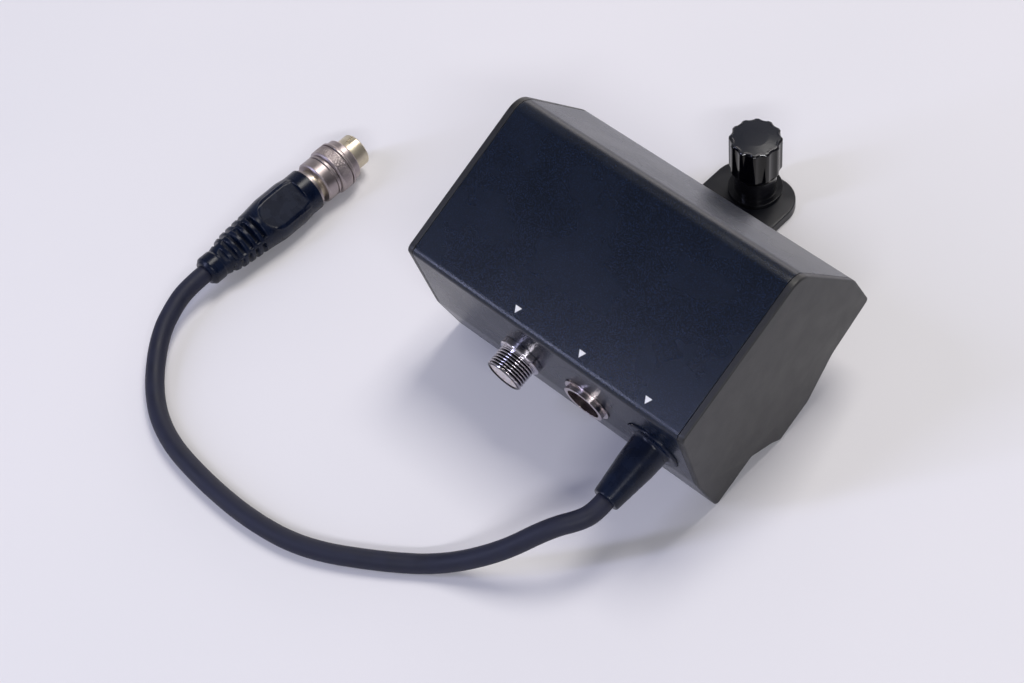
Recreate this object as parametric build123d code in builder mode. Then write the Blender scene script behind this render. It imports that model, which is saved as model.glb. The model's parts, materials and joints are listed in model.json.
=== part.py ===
from build123d import *
import os
from math import acos, atan2, cos, degrees, hypot, pi, radians, sin, sqrt, tan

# A focus drive module for a camera lens: a housing with three ports on its sloping front, a geared
# motor that turns an exposed output gear underneath, a mounting plate with a sprung captive screw,
# and a short lens cable that ends in a circular push-pull plug.
# Millimetres, +Z up. The origin is on the mounting plate's underside, at the plate's middle. The
# housing leans back on its front foot, as it does when the plate lies flat.

os.makedirs("parts", exist_ok=True)

# Stance of the housing over the plate
tilt = 24.94
housing_shift = 12.6
foot_setback = 57.603
foot_height = 2.4895

# Housing outline, seen from its end: distances behind the front top edge and below the top
top_depth = 49.3
knee_lean = 6.0
knee_drop = 28.0
foot_lean = 7.0
front_height = 46.0
toe_depth = 8.5
ramp_back = 14.6
ramp_drop = front_height + 6.6
keel_front = 16.9
keel_drop = front_height + 10.4
keel_back = 29.3
rise_back = 42.7
rise_drop = front_height + 4.3
heel_back = 59.6
heel_drop = front_height + 2.2
back_knee_drop = front_height - 14.0
top_front_radius = 2.0
knee_radius = 14.0
foot_radius = 1.5
ramp_radius = 1.0
rise_radius = 3.0
back_knee_radius = 10.0
top_back_radius = 6.0

# Housing walls and joints
housing_length = 94.0
cap_thickness = 1.9
cap_draft = 1.05
cap_edge_radius = 0.5
cap_rim_depth = 2.5
cap_rim_wall = 1.2
seam_gap = 0.15
cover_wall = 1.6
base_wall = 2.0
base_lip = 2.0
floor_rise = 1.2
fit_gap = 0.1
overrun = 1.0
well_front = 10.6
well_back = 44.0
well_end_wall = 2.0

# Screws from below, and the bosses that they pull on
screw_radius = 1.25
screw_clearance = 0.15
thread_clearance = 0.02
screw_head_radius = 2.25
screw_head_height = 1.3
screw_recess_radius = 2.5
screw_recess_top = 1.7
screw_grip = 5.0
boss_length = 7.0
boss_height = 6.5
boss_front_reach = 8.0
boss_back_reach = 8.0
cover_boss_x = 30.0
cap_tab_length = 5.8
cap_tab_width = 7.0
cap_tab_front = 4.5
cap_tab_back = 47.0
socket_drive_radius = 0.8
socket_drive_depth = 0.7

# Mounting plate and its seat under the base
plate_length = 60.5
plate_width = 25.6
plate_thickness = 3.0
plate_corner_radius = 8.5
plate_front_radius = 2.0
plate_edge_radius = 0.4
seat_length = 24.0
seat_width = 22.0
plate_screw_pitch_x = 13.0
plate_screw_pitch_y = 12.0
plate_screw_length = 6.0
plate_screw_head_radius = 2.6
plate_screw_head_sink = 0.15

# Captive clamp screw in the plate: heights above the table
knob_from_end = 7.7
collar_spigot_radius = 5.2
collar_spigot_lift = 0.2
collar_flange_radius = 7.7
collar_flange_height = 1.5
collar_neck_radius = 6.05
collar_top = 12.7
collar_bore_radius = 4.6
collar_shelf_top = 10.0
collar_shelf_thickness = 1.2
knob_radius = 7.45
knob_bottom = 11.7
knob_top = 25.3
knob_stop_gap = 0.6
knob_bottom_chamfer = 0.9
knob_top_chamfer = 0.35
knob_crown = 0.5
flute_count = 12
flute_turn = 21.0
flute_radius = 3.0
flute_depth = 0.5
stud_radius = 2.92
stud_shank_radius = 2.0
stud_lift = 0.3
stud_stop_gap = 0.2
stud_grip = 4.0
clamp_travel = 5.0
running_gap = 0.08
washer_thickness = 0.8
washer_radius = 4.3
spring_wire_radius = 0.3
spring_radius = 3.6
spring_turns = 3.0

# Ports on the sloping front: places along the length, and down the slope from the top edge
port_drop = 19.8
lens_port_inset = 14.0
port_steps = (22.0, 22.4)
lens_port_x = housing_length / 2 - lens_port_inset
aux_port_x = lens_port_x - port_steps[0]
demand_port_x = aux_port_x - port_steps[1]

# Demand socket
demand_thread_radius = 5.5
demand_thread_length = 6.2
demand_flange_radius = 6.35
demand_flange_height = 2.1
demand_ring_radius = 6.0
demand_ring_height = 0.4
demand_body_radius = 5.0
demand_body_depth = 9.0
demand_bore_radius = 4.6
demand_face_recess = 0.35
demand_contacts = 8

# Auxiliary socket
aux_flange_radius = 7.15
aux_flange_height = 0.5
aux_flange_sink = 0.7
aux_shell_radius = 6.2
aux_shell_reach = 1.9
aux_shell_depth = 11.0
aux_bore_radius = 5.1
aux_bore_depth = 6.0
aux_insert_bore = 4.9
aux_contacts = 8

# Parts that both sockets share
panel_gap = 0.15
contact_radius = 0.5
contact_ring_share = 0.66
contact_sink = 0.3
contact_depth = 6.0
nut_height = 2.2
nut_margin = 1.6

# Lens cable's gland and strain relief
gland_flange_radius = 8.0
gland_flange_sink = 0.9
gland_flange_proud = 0.7
gland_neck_radius = 6.4
gland_depth = 5.0
boot_base_radius = 5.4
boot_ridge_radius = 5.15
boot_ridge_reach = 6.6
boot_ridge_step = 0.15
boot_end_radius = 3.8
boot_reach = 18.6
boot_end_rounding = 0.3
retainer_radius = 8.6
retainer_thickness = 1.2

# Lens cable: it leaves the boot, drops to the table and runs round to the plug. The route's corners
# are listed between a straight lead at the boot and a straight tail at the plug, from the port's x.
cable_radius = 2.65
arc_share = 0.45
cable_lead = 3.2
cable_tail = 5.0
cable_corners = (
    (-1.2, -98.0, 19.4),
    (-6.2, -104.6, 18.5),
    (-14.5, -114.9, 10.7),
    (-27.3, -124.3, 2.7),
    (-40.1, -133.8, 2.7),
    (-57.3, -143.7, 2.7),
    (-74.1, -146.9, 2.7),
    (-93.1, -146.7, 2.7),
    (-111.2, -144.2, 2.7),
    (-125.2, -136.8, 2.7),
    (-137.1, -123.5, 4.9),
    (-141.2, -112.7, 6.6),
)

# Plug on the cable: distances along its axis from the boot's small end
plug_place = (-142.0, -101.0, 7.2)
plug_boot_length = 39.7
plug_boot_end_radius = 3.85
plug_cuff_length = 4.6
plug_cuff_radius = 4.4
plug_rib_start_radius = 5.6
plug_rib_start = 9.6
plug_rib_end = 19.9
plug_rib_end_radius = 6.4
plug_slot_top_count = 6
plug_slot_side_count = 5
plug_slot_share = 0.5
plug_slot_depth = 1.0
plug_grip_start = 25.2
plug_grip_end = 33.0
plug_grip_radius = 7.05
plug_neck_start = 35.9
plug_neck_radius = 6.6
plug_pad_start = 20.8
plug_pad_end = 35.5
plug_pad_height = 5.45
plug_pad_width = 10.4
plug_boot_roll = 28.0
plug_ring_length = 1.1
plug_collar_radius = 5.9
plug_core_radius = 4.9
plug_core_bore = 4.3
plug_core_start = 34.0
plug_tail_start = 36.0
plug_tail_bore = 3.6
plug_insert_start = 44.0
sleeve_start = 42.4
sleeve_end = 55.0
sleeve_rear_radius = 6.6
sleeve_radius = 7.15
sleeve_front_radius = 6.5
sleeve_groove_radius = 6.1
sleeve_grooves = (45.8, 46.9, 51.2)
sleeve_groove_width = 0.45
sleeve_shoulder = 47.5
sleeve_nose = 52.4
sleeve_edge = 0.4
sleeve_travel = 1.5
sleeve_fit = 0.06
sleeve_stop_radius = 5.6
sleeve_stop_start = 47.5
sleeve_stop_band = 1.6
barrel_end = 59.9
barrel_radius = 5.0
barrel_waist = 4.7
barrel_face_recess = 1.2
plug_contacts = 8
plug_contact_radius = 0.35
plug_contact_reach = 0.9
key_width = 1.4
key_length = 3.0
key_depth = 0.4

# Drive train under the cover: places behind the front top edge and above or below the top
output_back = 24.0
output_height = -front_height
motor_back = 39.0
motor_height = output_height + 27.0
first_module = 0.6
last_module = 0.8
pinion_teeth = 16
idler_teeth = 40
idler_pinion_teeth = 14
output_teeth = 28
encoder_teeth = 20
encoder_bearing = 103.0
addendum_share = 0.85
dedendum_share = 1.15
pressure_angle = 20.0
backlash = 0.12
frame_left_x = 5.0
frame_right_x = 27.0
frame_thickness = 2.0
frame_hub_gap = 0.3
first_face_x = 10.0
first_face_width = 4.0
last_face_x = 16.0
last_face_width = 6.0
hub_radius = 2.7
shaft_radius = 1.5
shaft_fit = 0.02
pinion_hub_end = 16.0
motor_radius = 8.2
motor_shaft_sink = 3.0
gearhead_radius = 9.0
gearhead_length = 14.0
end_clearance = 10.0
motor_length = housing_length / 2 - end_clearance + frame_left_x - gearhead_length
gearhead_pilot_radius = 3.5
gearhead_pilot_length = 1.5
motor_boss_radius = 3.0
motor_boss_length = 1.8
motor_screw_ring = 6.6
motor_screw_count = 3
encoder_radius = 6.6
encoder_length = 9.0
encoder_bush_radius = 3.0
encoder_bush_length = 3.8
encoder_nut_radius = 4.6
encoder_nut_thickness = 1.8
encoder_shaft_sink = 4.0
pillar_radius = 2.1
pillar_spot_shares = ((0.157, 0.869), (0.608, 0.164), (0.931, 0.841))
small_screw_radius = 1.0
small_screw_head_radius = 1.75
small_screw_head_height = 1.2
small_screw_grip = 2.4
frame_foot_length = 6.5
frame_foot_width = 7.0
frame_front = 2.5
frame_back = 51.0
frame_top = 4.0
frame_top_front = 12.0
frame_top_back = 44.5
frame_shoulder_drop = 20.0
frame_step_top = 30.0
frame_step_drop = front_height - 10.0
frame_well_front = 18.2
frame_well_back = 33.6
frame_well_drop = front_height + 4.4

# Circuit board
board_frame_gap = 3.0
board_left_x = end_clearance - housing_length / 2
board_right_x = frame_left_x - board_frame_gap
board_front = 3.0
board_back = 50.0
board_lift = 4.4
board_thickness = 1.6
board_hole_inset = 3.0
standoff_radius = 2.4
chip_box_shares = ((0.33, 0.36, 0.26, 0.21), (0.69, 0.66, 0.18, 0.11), (0.26, 0.75, 0.28, 0.09))
chip_height = 1.4
capacitor_spot_shares = ((0.69, 0.19), (0.49, 0.19))
capacitor_radius = 2.2
capacitor_height = 5.0

# Derived frames
lean = radians(tilt)
along_top = Vector(0, cos(lean), sin(lean))
out_of_top = Vector(0, -sin(lean), cos(lean))
along_length = Vector(1, 0, 0)
housing_origin = Vector(housing_shift, -foot_setback, foot_height) + out_of_top * front_height
slope_length = hypot(knee_lean, knee_drop)
down_slope = along_top * (-knee_lean / slope_length) + out_of_top * (-knee_drop / slope_length)
out_of_slope = along_top * (-knee_drop / slope_length) + out_of_top * (knee_lean / slope_length)
cap_inner_x = housing_length / 2 - cap_thickness
shell_half = cap_inner_x - seam_gap
split_height = -(front_height - base_lip)
floor_height = split_height + floor_rise
reach_all = heel_back + keel_drop


def end_plane(x):
    """Square to the length at x; local x runs back along the top, local y runs out of the top."""
    return Plane(origin=housing_origin + along_length * x, x_dir=along_top, z_dir=along_length)


def level_plane(height):
    """Parallel to the top face; local x is the length, local y runs back."""
    return Plane(origin=housing_origin + out_of_top * height, x_dir=along_length, z_dir=out_of_top)


def port_plane(x, out=0.0):
    """On the sloping front at a port; local x is the length, local z leaves the housing."""
    origin = housing_origin + along_length * x + down_slope * port_drop + out_of_slope * out
    return Plane(origin=origin, x_dir=along_length, z_dir=out_of_slope)


def port_axis_plane(x):
    """Holds a port's axis for a revolve; local x is the radius, local y is the way out."""
    origin = housing_origin + along_length * x + down_slope * port_drop
    return Plane(origin=origin, x_dir=along_length, z_dir=along_length.cross(out_of_slope))


def plug_plane(along):
    """Square to the plug's axis at a distance from the cable end of its boot."""
    return Plane(origin=plug_origin + plug_axis * along, x_dir=(1, 0, 0), z_dir=plug_axis)


def housing_outline(inset=0.0):
    """Draws the housing's end outline as a face, drawn in by an inset."""
    corners = [
        (0, 0, top_front_radius),
        (-knee_lean, -knee_drop, knee_radius),
        (-foot_lean, -front_height, foot_radius),
        (toe_depth, -front_height, ramp_radius),
        (ramp_back, -ramp_drop, ramp_radius),
        (keel_front, -keel_drop, ramp_radius),
        (keel_back, -keel_drop, rise_radius),
        (rise_back, -rise_drop, rise_radius),
        (heel_back, -heel_drop, foot_radius),
        (heel_back, -back_knee_drop, back_knee_radius),
        (top_depth, 0, top_back_radius),
    ]
    with BuildLine() as edge:
        FilletPolyline(*[(y, z) for y, z, r in corners], radius=[r for y, z, r in corners], close=True)
    make_face(edge.edges())
    if inset > 0:
        offset(amount=-inset)


def keep_below(height):
    """Cuts the sketch away above a height under the top face."""
    with Locations((0, height)):
        Rectangle(4 * reach_all, reach_all, align=(Align.CENTER, Align.MIN), mode=Mode.SUBTRACT)


def keep_above(height):
    """Cuts the sketch away below a height under the top face."""
    with Locations((0, height)):
        Rectangle(4 * reach_all, reach_all, align=(Align.CENTER, Align.MAX), mode=Mode.SUBTRACT)


def turned(points):
    """Draws a closed profile of (radius, along) points and revolves it about its plane's y axis."""
    with BuildLine() as edge:
        Polyline(*points, close=True)
    make_face(edge.edges())


front_boss_back = -knee_lean + boss_front_reach
back_boss_front = heel_back - boss_back_reach
cover_screw_places = [
    (side * cover_boss_x, back)
    for side in (-1, 1)
    for back in (front_boss_back - boss_length / 2, back_boss_front + boss_length / 2)
]
cap_screw_x = cap_inner_x - cap_tab_length / 2
cap_screw_places = [
    (side * cap_screw_x, front + cap_tab_width / 2)
    for side in (-1, 1)
    for front in (cap_tab_front, cap_tab_back)
]
screw_head_top = -front_height + screw_recess_top
foot_rows = (frame_front, frame_back - frame_foot_width)
frame_inner_x = (frame_left_x + frame_thickness, frame_right_x - frame_thickness)
frame_screw_places = [
    (x + side * frame_foot_length / 2, row + frame_foot_width / 2)
    for x, side in zip(frame_inner_x, (1, -1))
    for row in foot_rows
]
board_screw_places = [
    (x, row)
    for x in (board_left_x + board_hole_inset, board_right_x - board_hole_inset)
    for row in (board_front + board_hole_inset, board_back - board_hole_inset)
]

# Cover: the top, the sloping front and the back in one wrap, open below and at both ends
with BuildPart() as top_cover:
    with BuildSketch(end_plane(-shell_half)):
        housing_outline()
        keep_above(split_height)
    extrude(amount=2 * shell_half)
    with BuildSketch(end_plane(-shell_half)):
        housing_outline(cover_wall)
    extrude(amount=2 * shell_half, mode=Mode.SUBTRACT)
    with BuildSketch(level_plane(floor_height)):
        with Locations(*[(side * cover_boss_x, front_boss_back) for side in (-1, 1)]):
            Rectangle(boss_length, boss_front_reach, align=(Align.CENTER, Align.MAX))
        with Locations(*[(side * cover_boss_x, back_boss_front) for side in (-1, 1)]):
            Rectangle(boss_length, boss_back_reach - cover_wall / 2, align=(Align.CENTER, Align.MIN))
    extrude(amount=boss_height)
    with BuildSketch(level_plane(floor_height)):
        with Locations(*cover_screw_places):
            Circle(screw_radius + thread_clearance)
    extrude(amount=screw_grip + screw_clearance, mode=Mode.SUBTRACT)
    with BuildSketch(port_plane(demand_port_x, -cover_wall - overrun)):
        Circle(demand_body_radius + panel_gap)
    extrude(amount=cover_wall + 2 * overrun, mode=Mode.SUBTRACT)
    with BuildSketch(port_plane(aux_port_x, -cover_wall - overrun)):
        Circle(aux_shell_radius + panel_gap)
    extrude(amount=cover_wall + 2 * overrun, mode=Mode.SUBTRACT)
    with BuildSketch(port_plane(aux_port_x, -aux_flange_sink)):
        Circle(aux_flange_radius + panel_gap)
    extrude(amount=cover_wall + overrun, mode=Mode.SUBTRACT)
    with BuildSketch(port_plane(lens_port_x, -cover_wall - overrun)):
        Circle(gland_neck_radius + panel_gap)
    extrude(amount=cover_wall + 2 * overrun, mode=Mode.SUBTRACT)
    with BuildSketch(port_plane(lens_port_x, -gland_flange_sink)):
        Circle(gland_flange_radius + panel_gap)
    extrude(amount=cover_wall + overrun, mode=Mode.SUBTRACT)
top_cover.part.label = "top_cover"
export_step(top_cover.part, "parts/top_cover.step")

# Mounting plate's place under the keel
plate_back = plate_length / 2
knob_y = plate_back - knob_from_end
seat_middle_y = -plate_back + seat_length / 2
plate_screw_spots = [
    (i * plate_screw_pitch_x / 2, seat_middle_y + j * plate_screw_pitch_y / 2)
    for i in (-1, 1)
    for j in (-1, 1)
]
plate_screw_top = plate_screw_length

# Base: lower tray with the keel round the output gear, its window and the seat for the plate
output_root = output_teeth * last_module / 2
window_half = output_root + last_module * addendum_share + overrun
with BuildPart() as base:
    with BuildSketch(end_plane(-shell_half)):
        housing_outline()
        keep_below(split_height - fit_gap)
    extrude(amount=2 * shell_half)
    with BuildSketch(end_plane(-shell_half)):
        housing_outline(cover_wall + fit_gap)
        keep_below(floor_height)
    extrude(amount=2 * shell_half)
    seat_plane = Plane.XY.offset(plate_thickness)
    with BuildSketch(seat_plane):
        with Locations((0, -plate_back)):
            Rectangle(seat_width, seat_length, align=(Align.CENTER, Align.MIN))
    extrude(amount=front_height / 2)
    with BuildSketch(end_plane(-shell_half + well_end_wall)):
        housing_outline(base_wall)
        keep_below(floor_height + overrun)
        with Locations((well_front, -reach_all)):
            Rectangle(reach_all, 2 * reach_all, align=(Align.MAX, Align.MIN), mode=Mode.SUBTRACT)
        with Locations((well_back, -reach_all)):
            Rectangle(reach_all, 2 * reach_all, align=(Align.MIN, Align.MIN), mode=Mode.SUBTRACT)
    extrude(amount=2 * (shell_half - well_end_wall), mode=Mode.SUBTRACT)
    with BuildSketch(level_plane(floor_height)):
        Rectangle(4 * reach_all, 4 * reach_all)
    extrude(amount=front_height, mode=Mode.SUBTRACT)
    with BuildSketch(level_plane(-keel_drop - overrun)):
        with Locations((last_face_x + last_face_width / 2, output_back)):
            Rectangle(last_face_width + 2 * overrun, 2 * window_half)
    extrude(amount=base_wall + keel_drop - front_height, mode=Mode.SUBTRACT)
    with BuildSketch(level_plane(-keel_drop - overrun)):
        with Locations(*cover_screw_places, *cap_screw_places):
            Circle(screw_radius + screw_clearance)
    extrude(amount=keel_drop, mode=Mode.SUBTRACT)
    with BuildSketch(level_plane(-keel_drop - overrun)):
        with Locations(*cover_screw_places, *cap_screw_places):
            Circle(screw_recess_radius)
    extrude(amount=keel_drop + overrun + screw_head_top, mode=Mode.SUBTRACT)
    with BuildSketch(level_plane(floor_height)):
        with Locations(*frame_screw_places, *board_screw_places):
            Circle(small_screw_radius + thread_clearance)
    extrude(amount=-(small_screw_grip + screw_clearance), mode=Mode.SUBTRACT)
    with BuildSketch(seat_plane):
        with Locations(*plate_screw_spots):
            Circle(screw_radius + thread_clearance)
    extrude(amount=plate_screw_top - plate_thickness + overrun, mode=Mode.SUBTRACT)
base.part.label = "base"
export_step(base.part, "parts/base.step")

# End caps: plates with the whole end outline, drawn in a little towards the foot, with a rim that
# stands inside the cover and two tabs on the base
cap_places = {"right_end_cap": 1, "left_end_cap": -1}
for cap_name, side in cap_places.items():
    draft_plane = Plane(
        origin=housing_origin + along_length * (side * housing_length / 2),
        x_dir=along_top,
        z_dir=along_length * side - out_of_top * tan(radians(cap_draft)),
    )
    with BuildPart() as end_cap:
        with BuildSketch(end_plane(side * cap_inner_x)):
            housing_outline()
        extrude(amount=side * cap_thickness)
        split(bisect_by=draft_plane, keep=Keep.BOTTOM)
        outer_face = end_cap.faces().sort_by(Axis.X)[-1 if side > 0 else 0]
        fillet(outer_face.edges(), cap_edge_radius)
        with BuildSketch(end_plane(side * cap_inner_x)):
            housing_outline(cover_wall + fit_gap)
            keep_above(floor_height)
        extrude(amount=-side * cap_rim_depth)
        with BuildSketch(end_plane(side * cap_inner_x)):
            housing_outline(cover_wall + fit_gap + cap_rim_wall)
            keep_above(floor_height - overrun)
        extrude(amount=-side * (cap_rim_depth + overrun), mode=Mode.SUBTRACT)
        with BuildSketch(level_plane(floor_height)):
            with Locations(*[(side * cap_screw_x, y) for x, y in cap_screw_places[:2]]):
                Rectangle(cap_tab_length, cap_tab_width)
        extrude(amount=boss_height)
        with BuildSketch(level_plane(floor_height)):
            with Locations(*[(side * cap_screw_x, y) for x, y in cap_screw_places[:2]]):
                Circle(screw_radius + thread_clearance)
        extrude(amount=screw_grip + screw_clearance, mode=Mode.SUBTRACT)
    end_cap.part.label = cap_name
    export_step(end_cap.part, "parts/" + cap_name + ".step")

# Screws from below: four pull the cover down, four hold the end caps' tabs
screw_top = floor_height + screw_grip
for screws_name, places in (("cover_screws", cover_screw_places), ("end_cap_screws", cap_screw_places)):
    with BuildPart() as base_screws:
        with BuildSketch(level_plane(screw_head_top)):
            with Locations(*places):
                Circle(screw_radius)
        extrude(amount=screw_top - screw_head_top)
        with BuildSketch(level_plane(screw_head_top)):
            with Locations(*places):
                Circle(screw_head_radius)
        extrude(amount=-screw_head_height)
        with BuildSketch(level_plane(screw_head_top - screw_head_height)):
            with Locations(*places):
                RegularPolygon(socket_drive_radius, 6)
        extrude(amount=socket_drive_depth, mode=Mode.SUBTRACT)
    base_screws.part.label = screws_name
    export_step(base_screws.part, "parts/" + screws_name + ".step")

# Mounting plate: flat on the table, screwed up into the seat, with the captive screw at its far end
with BuildPart() as mounting_plate:
    with BuildSketch():
        Rectangle(plate_width, plate_length)
        fillet(vertices().group_by(Axis.Y)[-1], plate_corner_radius)
        fillet(vertices().group_by(Axis.Y)[0], plate_front_radius)
    extrude(amount=plate_thickness)
    fillet(faces().sort_by(Axis.Z)[-1].edges(), plate_edge_radius)
    with Locations((0, knob_y, 0)):
        Hole(collar_spigot_radius + shaft_fit)
    with Locations(*[(x, y, plate_screw_head_sink) for x, y in plate_screw_spots]):
        with Locations(Rotation(180, 0, 0)):
            CounterSinkHole(screw_radius + screw_clearance, plate_screw_head_radius, depth=plate_thickness)
mounting_plate.part.label = "mounting_plate"
export_step(mounting_plate.part, "parts/mounting_plate.step")

# Countersunk screws of the mounting plate
sink_depth = plate_screw_head_radius - screw_radius
with BuildPart() as plate_screws:
    for x, y in plate_screw_spots:
        with BuildSketch(Plane(origin=(x, y, 0), x_dir=(1, 0, 0), z_dir=(0, -1, 0))):
            turned([
                (0, plate_screw_head_sink),
                (plate_screw_head_radius - screw_clearance, plate_screw_head_sink),
                (screw_radius, plate_screw_head_sink + sink_depth),
                (screw_radius, plate_screw_length),
                (0, plate_screw_length),
            ])
        revolve(axis=Axis((x, y, 0), (0, 0, 1)))
plate_screws.part.label = "plate_screws"
export_step(plate_screws.part, "parts/plate_screws.step")

# Captive screw's collar, pressed into the plate: its shelf keeps the stud's thread from rising out
knob_axis_plane = Plane(origin=(0, knob_y, 0), x_dir=(1, 0, 0), z_dir=(0, -1, 0))
knob_axis = Axis((0, knob_y, 0), (0, 0, 1))
collar_flange_top = plate_thickness + collar_flange_height
collar_shelf_bottom = collar_shelf_top - collar_shelf_thickness
with BuildPart() as screw_collar:
    with BuildSketch(knob_axis_plane):
        turned([
            (collar_spigot_radius, collar_spigot_lift),
            (collar_spigot_radius, plate_thickness),
            (collar_flange_radius, plate_thickness),
            (collar_flange_radius, collar_flange_top),
            (collar_neck_radius, collar_flange_top),
            (collar_neck_radius, collar_top),
            (collar_bore_radius, collar_top),
            (collar_bore_radius, collar_shelf_top),
            (stud_shank_radius + running_gap, collar_shelf_top),
            (stud_shank_radius + running_gap, collar_shelf_bottom),
            (stud_radius + running_gap, collar_shelf_bottom),
            (stud_radius + running_gap, collar_spigot_lift),
        ])
    revolve(axis=knob_axis)
screw_collar.part.label = "screw_collar"
export_step(screw_collar.part, "parts/screw_collar.step")

# Stud: a short thread under the shelf, and a thinner shank that the knob grips
knob_roof = collar_top + clamp_travel + knob_stop_gap
thread_top = collar_shelf_bottom - stud_stop_gap
with BuildPart() as clamp_stud:
    with BuildSketch(knob_axis_plane):
        turned([
            (0, stud_lift),
            (stud_shank_radius, stud_lift),
            (stud_radius, stud_lift + stud_radius - stud_shank_radius),
            (stud_radius, thread_top),
            (stud_shank_radius, thread_top),
            (stud_shank_radius, knob_roof + stud_grip),
            (0, knob_roof + stud_grip),
        ])
    revolve(axis=knob_axis)
clamp_stud.part.label = "clamp_stud"
export_step(clamp_stud.part, "parts/clamp_stud.step")

# Knob: fluted, with a low crown, a skirt that slides over the collar, and a hole for the shank
skirt_bore = collar_neck_radius + running_gap
crown_rim = knob_radius - knob_top_chamfer
crown_radius = (crown_rim**2 + knob_crown**2) / (2 * knob_crown)
with BuildPart() as thumb_knob:
    with BuildSketch(knob_axis_plane):
        with BuildLine():
            Polyline(
                (0, knob_roof),
                (skirt_bore, knob_roof),
                (skirt_bore, knob_bottom),
                (knob_radius - knob_bottom_chamfer, knob_bottom),
                (knob_radius, knob_bottom + 2 * knob_bottom_chamfer),
                (knob_radius, knob_top - knob_top_chamfer - knob_crown),
                (crown_rim, knob_top - knob_crown),
            )
            ThreePointArc(
                (crown_rim, knob_top - knob_crown),
                (crown_rim / 2, knob_top - crown_radius + sqrt(crown_radius**2 - (crown_rim / 2) ** 2)),
                (0, knob_top),
            )
            Line((0, knob_top), (0, knob_roof))
        make_face()
    revolve(axis=knob_axis)
    with BuildSketch(Plane.XY.offset(knob_bottom)):
        with Locations((0, knob_y)):
            with PolarLocations(knob_radius - flute_depth + flute_radius, flute_count, flute_turn):
                Circle(flute_radius)
    extrude(amount=knob_top - knob_bottom, mode=Mode.SUBTRACT)
    with BuildSketch(Plane.XY.offset(knob_roof)):
        with Locations((0, knob_y)):
            Circle(stud_shank_radius + shaft_fit)
    extrude(amount=stud_grip, mode=Mode.SUBTRACT)
thumb_knob.part.label = "thumb_knob"
export_step(thumb_knob.part, "parts/thumb_knob.step")

# Washer between the spring and the knob's roof: it rides down with the knob but need not turn
with BuildPart() as spring_washer:
    with BuildSketch(Plane.XY.offset(knob_roof - washer_thickness)):
        with Locations((0, knob_y)):
            Circle(washer_radius)
            Circle(stud_shank_radius + running_gap, mode=Mode.SUBTRACT)
    extrude(amount=washer_thickness)
spring_washer.part.label = "spring_washer"
export_step(spring_washer.part, "parts/spring_washer.step")

# Return spring round the shank, between the collar's shelf and the washer
spring_low = collar_shelf_top + spring_wire_radius
spring_high = knob_roof - washer_thickness - spring_wire_radius
spring_rise = (spring_high - spring_low) / (2 * pi * spring_turns)


def spring_point(turn):
    """A point of the spring's middle line and the line's direction there, after an angle of turning."""
    point = Vector(spring_radius * cos(turn), knob_y + spring_radius * sin(turn), spring_low + spring_rise * turn)
    return point, Vector(-spring_radius * sin(turn), spring_radius * cos(turn), spring_rise).normalized()


with BuildPart() as return_spring:
    with BuildLine():
        for quarter in range(int(4 * spring_turns)):
            start, start_way = spring_point(quarter * pi / 2)
            end, end_way = spring_point((quarter + 1) * pi / 2)
            chord = end - start
            both_ways = start_way + end_way
            bend = 2 - 2 * start_way.dot(end_way)
            handle = (sqrt(chord.dot(both_ways)**2 + bend * chord.dot(chord)) - chord.dot(both_ways)) / bend
            meet = (start + start_way * handle + end - end_way * handle) / 2
            TangentArc(start, meet, tangent=start_way)
            TangentArc(meet, end, tangent=end - end_way * handle - start - start_way * handle)
    start, start_way = spring_point(0)
    with BuildSketch(Plane(origin=start, z_dir=start_way)):
        Circle(spring_wire_radius)
    sweep()
return_spring.part.label = "return_spring"
export_step(return_spring.part, "parts/return_spring.step")


def contact_ring(count, ring):
    """Places of a socket's contacts: one in the middle and the rest on a ring."""
    return [(0, 0)] + [
        (ring * cos(2 * pi * i / (count - 1)), ring * sin(2 * pi * i / (count - 1))) for i in range(count - 1)
    ]


# Demand socket: threaded shell with a stepped foot, held by a nut behind the cover's wall
demand_front = demand_flange_height + demand_thread_length
demand_axis = Axis(port_plane(demand_port_x).origin, out_of_slope)
with BuildPart() as demand_socket_shell:
    with BuildSketch(port_axis_plane(demand_port_x)):
        turned([
            (demand_bore_radius, -demand_body_depth),
            (demand_body_radius, -demand_body_depth),
            (demand_body_radius, 0),
            (demand_flange_radius, 0),
            (demand_flange_radius, demand_flange_height - demand_ring_height),
            (demand_ring_radius, demand_flange_height),
            (demand_thread_radius, demand_flange_height),
            (demand_thread_radius, demand_front - demand_ring_height),
            (demand_thread_radius - demand_ring_height, demand_front),
            (demand_bore_radius, demand_front),
        ])
    revolve(axis=demand_axis)
demand_socket_shell.part.label = "demand_socket_shell"
export_step(demand_socket_shell.part, "parts/demand_socket_shell.step")

# Auxiliary socket: a flange let into the wall, a short projecting shell and a deep bore
aux_axis = Axis(port_plane(aux_port_x).origin, out_of_slope)
with BuildPart() as aux_socket_shell:
    with BuildSketch(port_axis_plane(aux_port_x)):
        turned([
            (aux_insert_bore, -aux_shell_depth),
            (aux_shell_radius, -aux_shell_depth),
            (aux_shell_radius, -aux_flange_sink),
            (aux_flange_radius, -aux_flange_sink),
            (aux_flange_radius, aux_flange_height),
            (aux_shell_radius, aux_flange_height),
            (aux_shell_radius, aux_shell_reach),
            (aux_bore_radius, aux_shell_reach),
            (aux_bore_radius, aux_shell_reach - aux_bore_depth),
            (aux_insert_bore, aux_shell_reach - aux_bore_depth),
        ])
    revolve(axis=aux_axis)
aux_socket_shell.part.label = "aux_socket_shell"
export_step(aux_socket_shell.part, "parts/aux_socket_shell.step")

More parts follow.
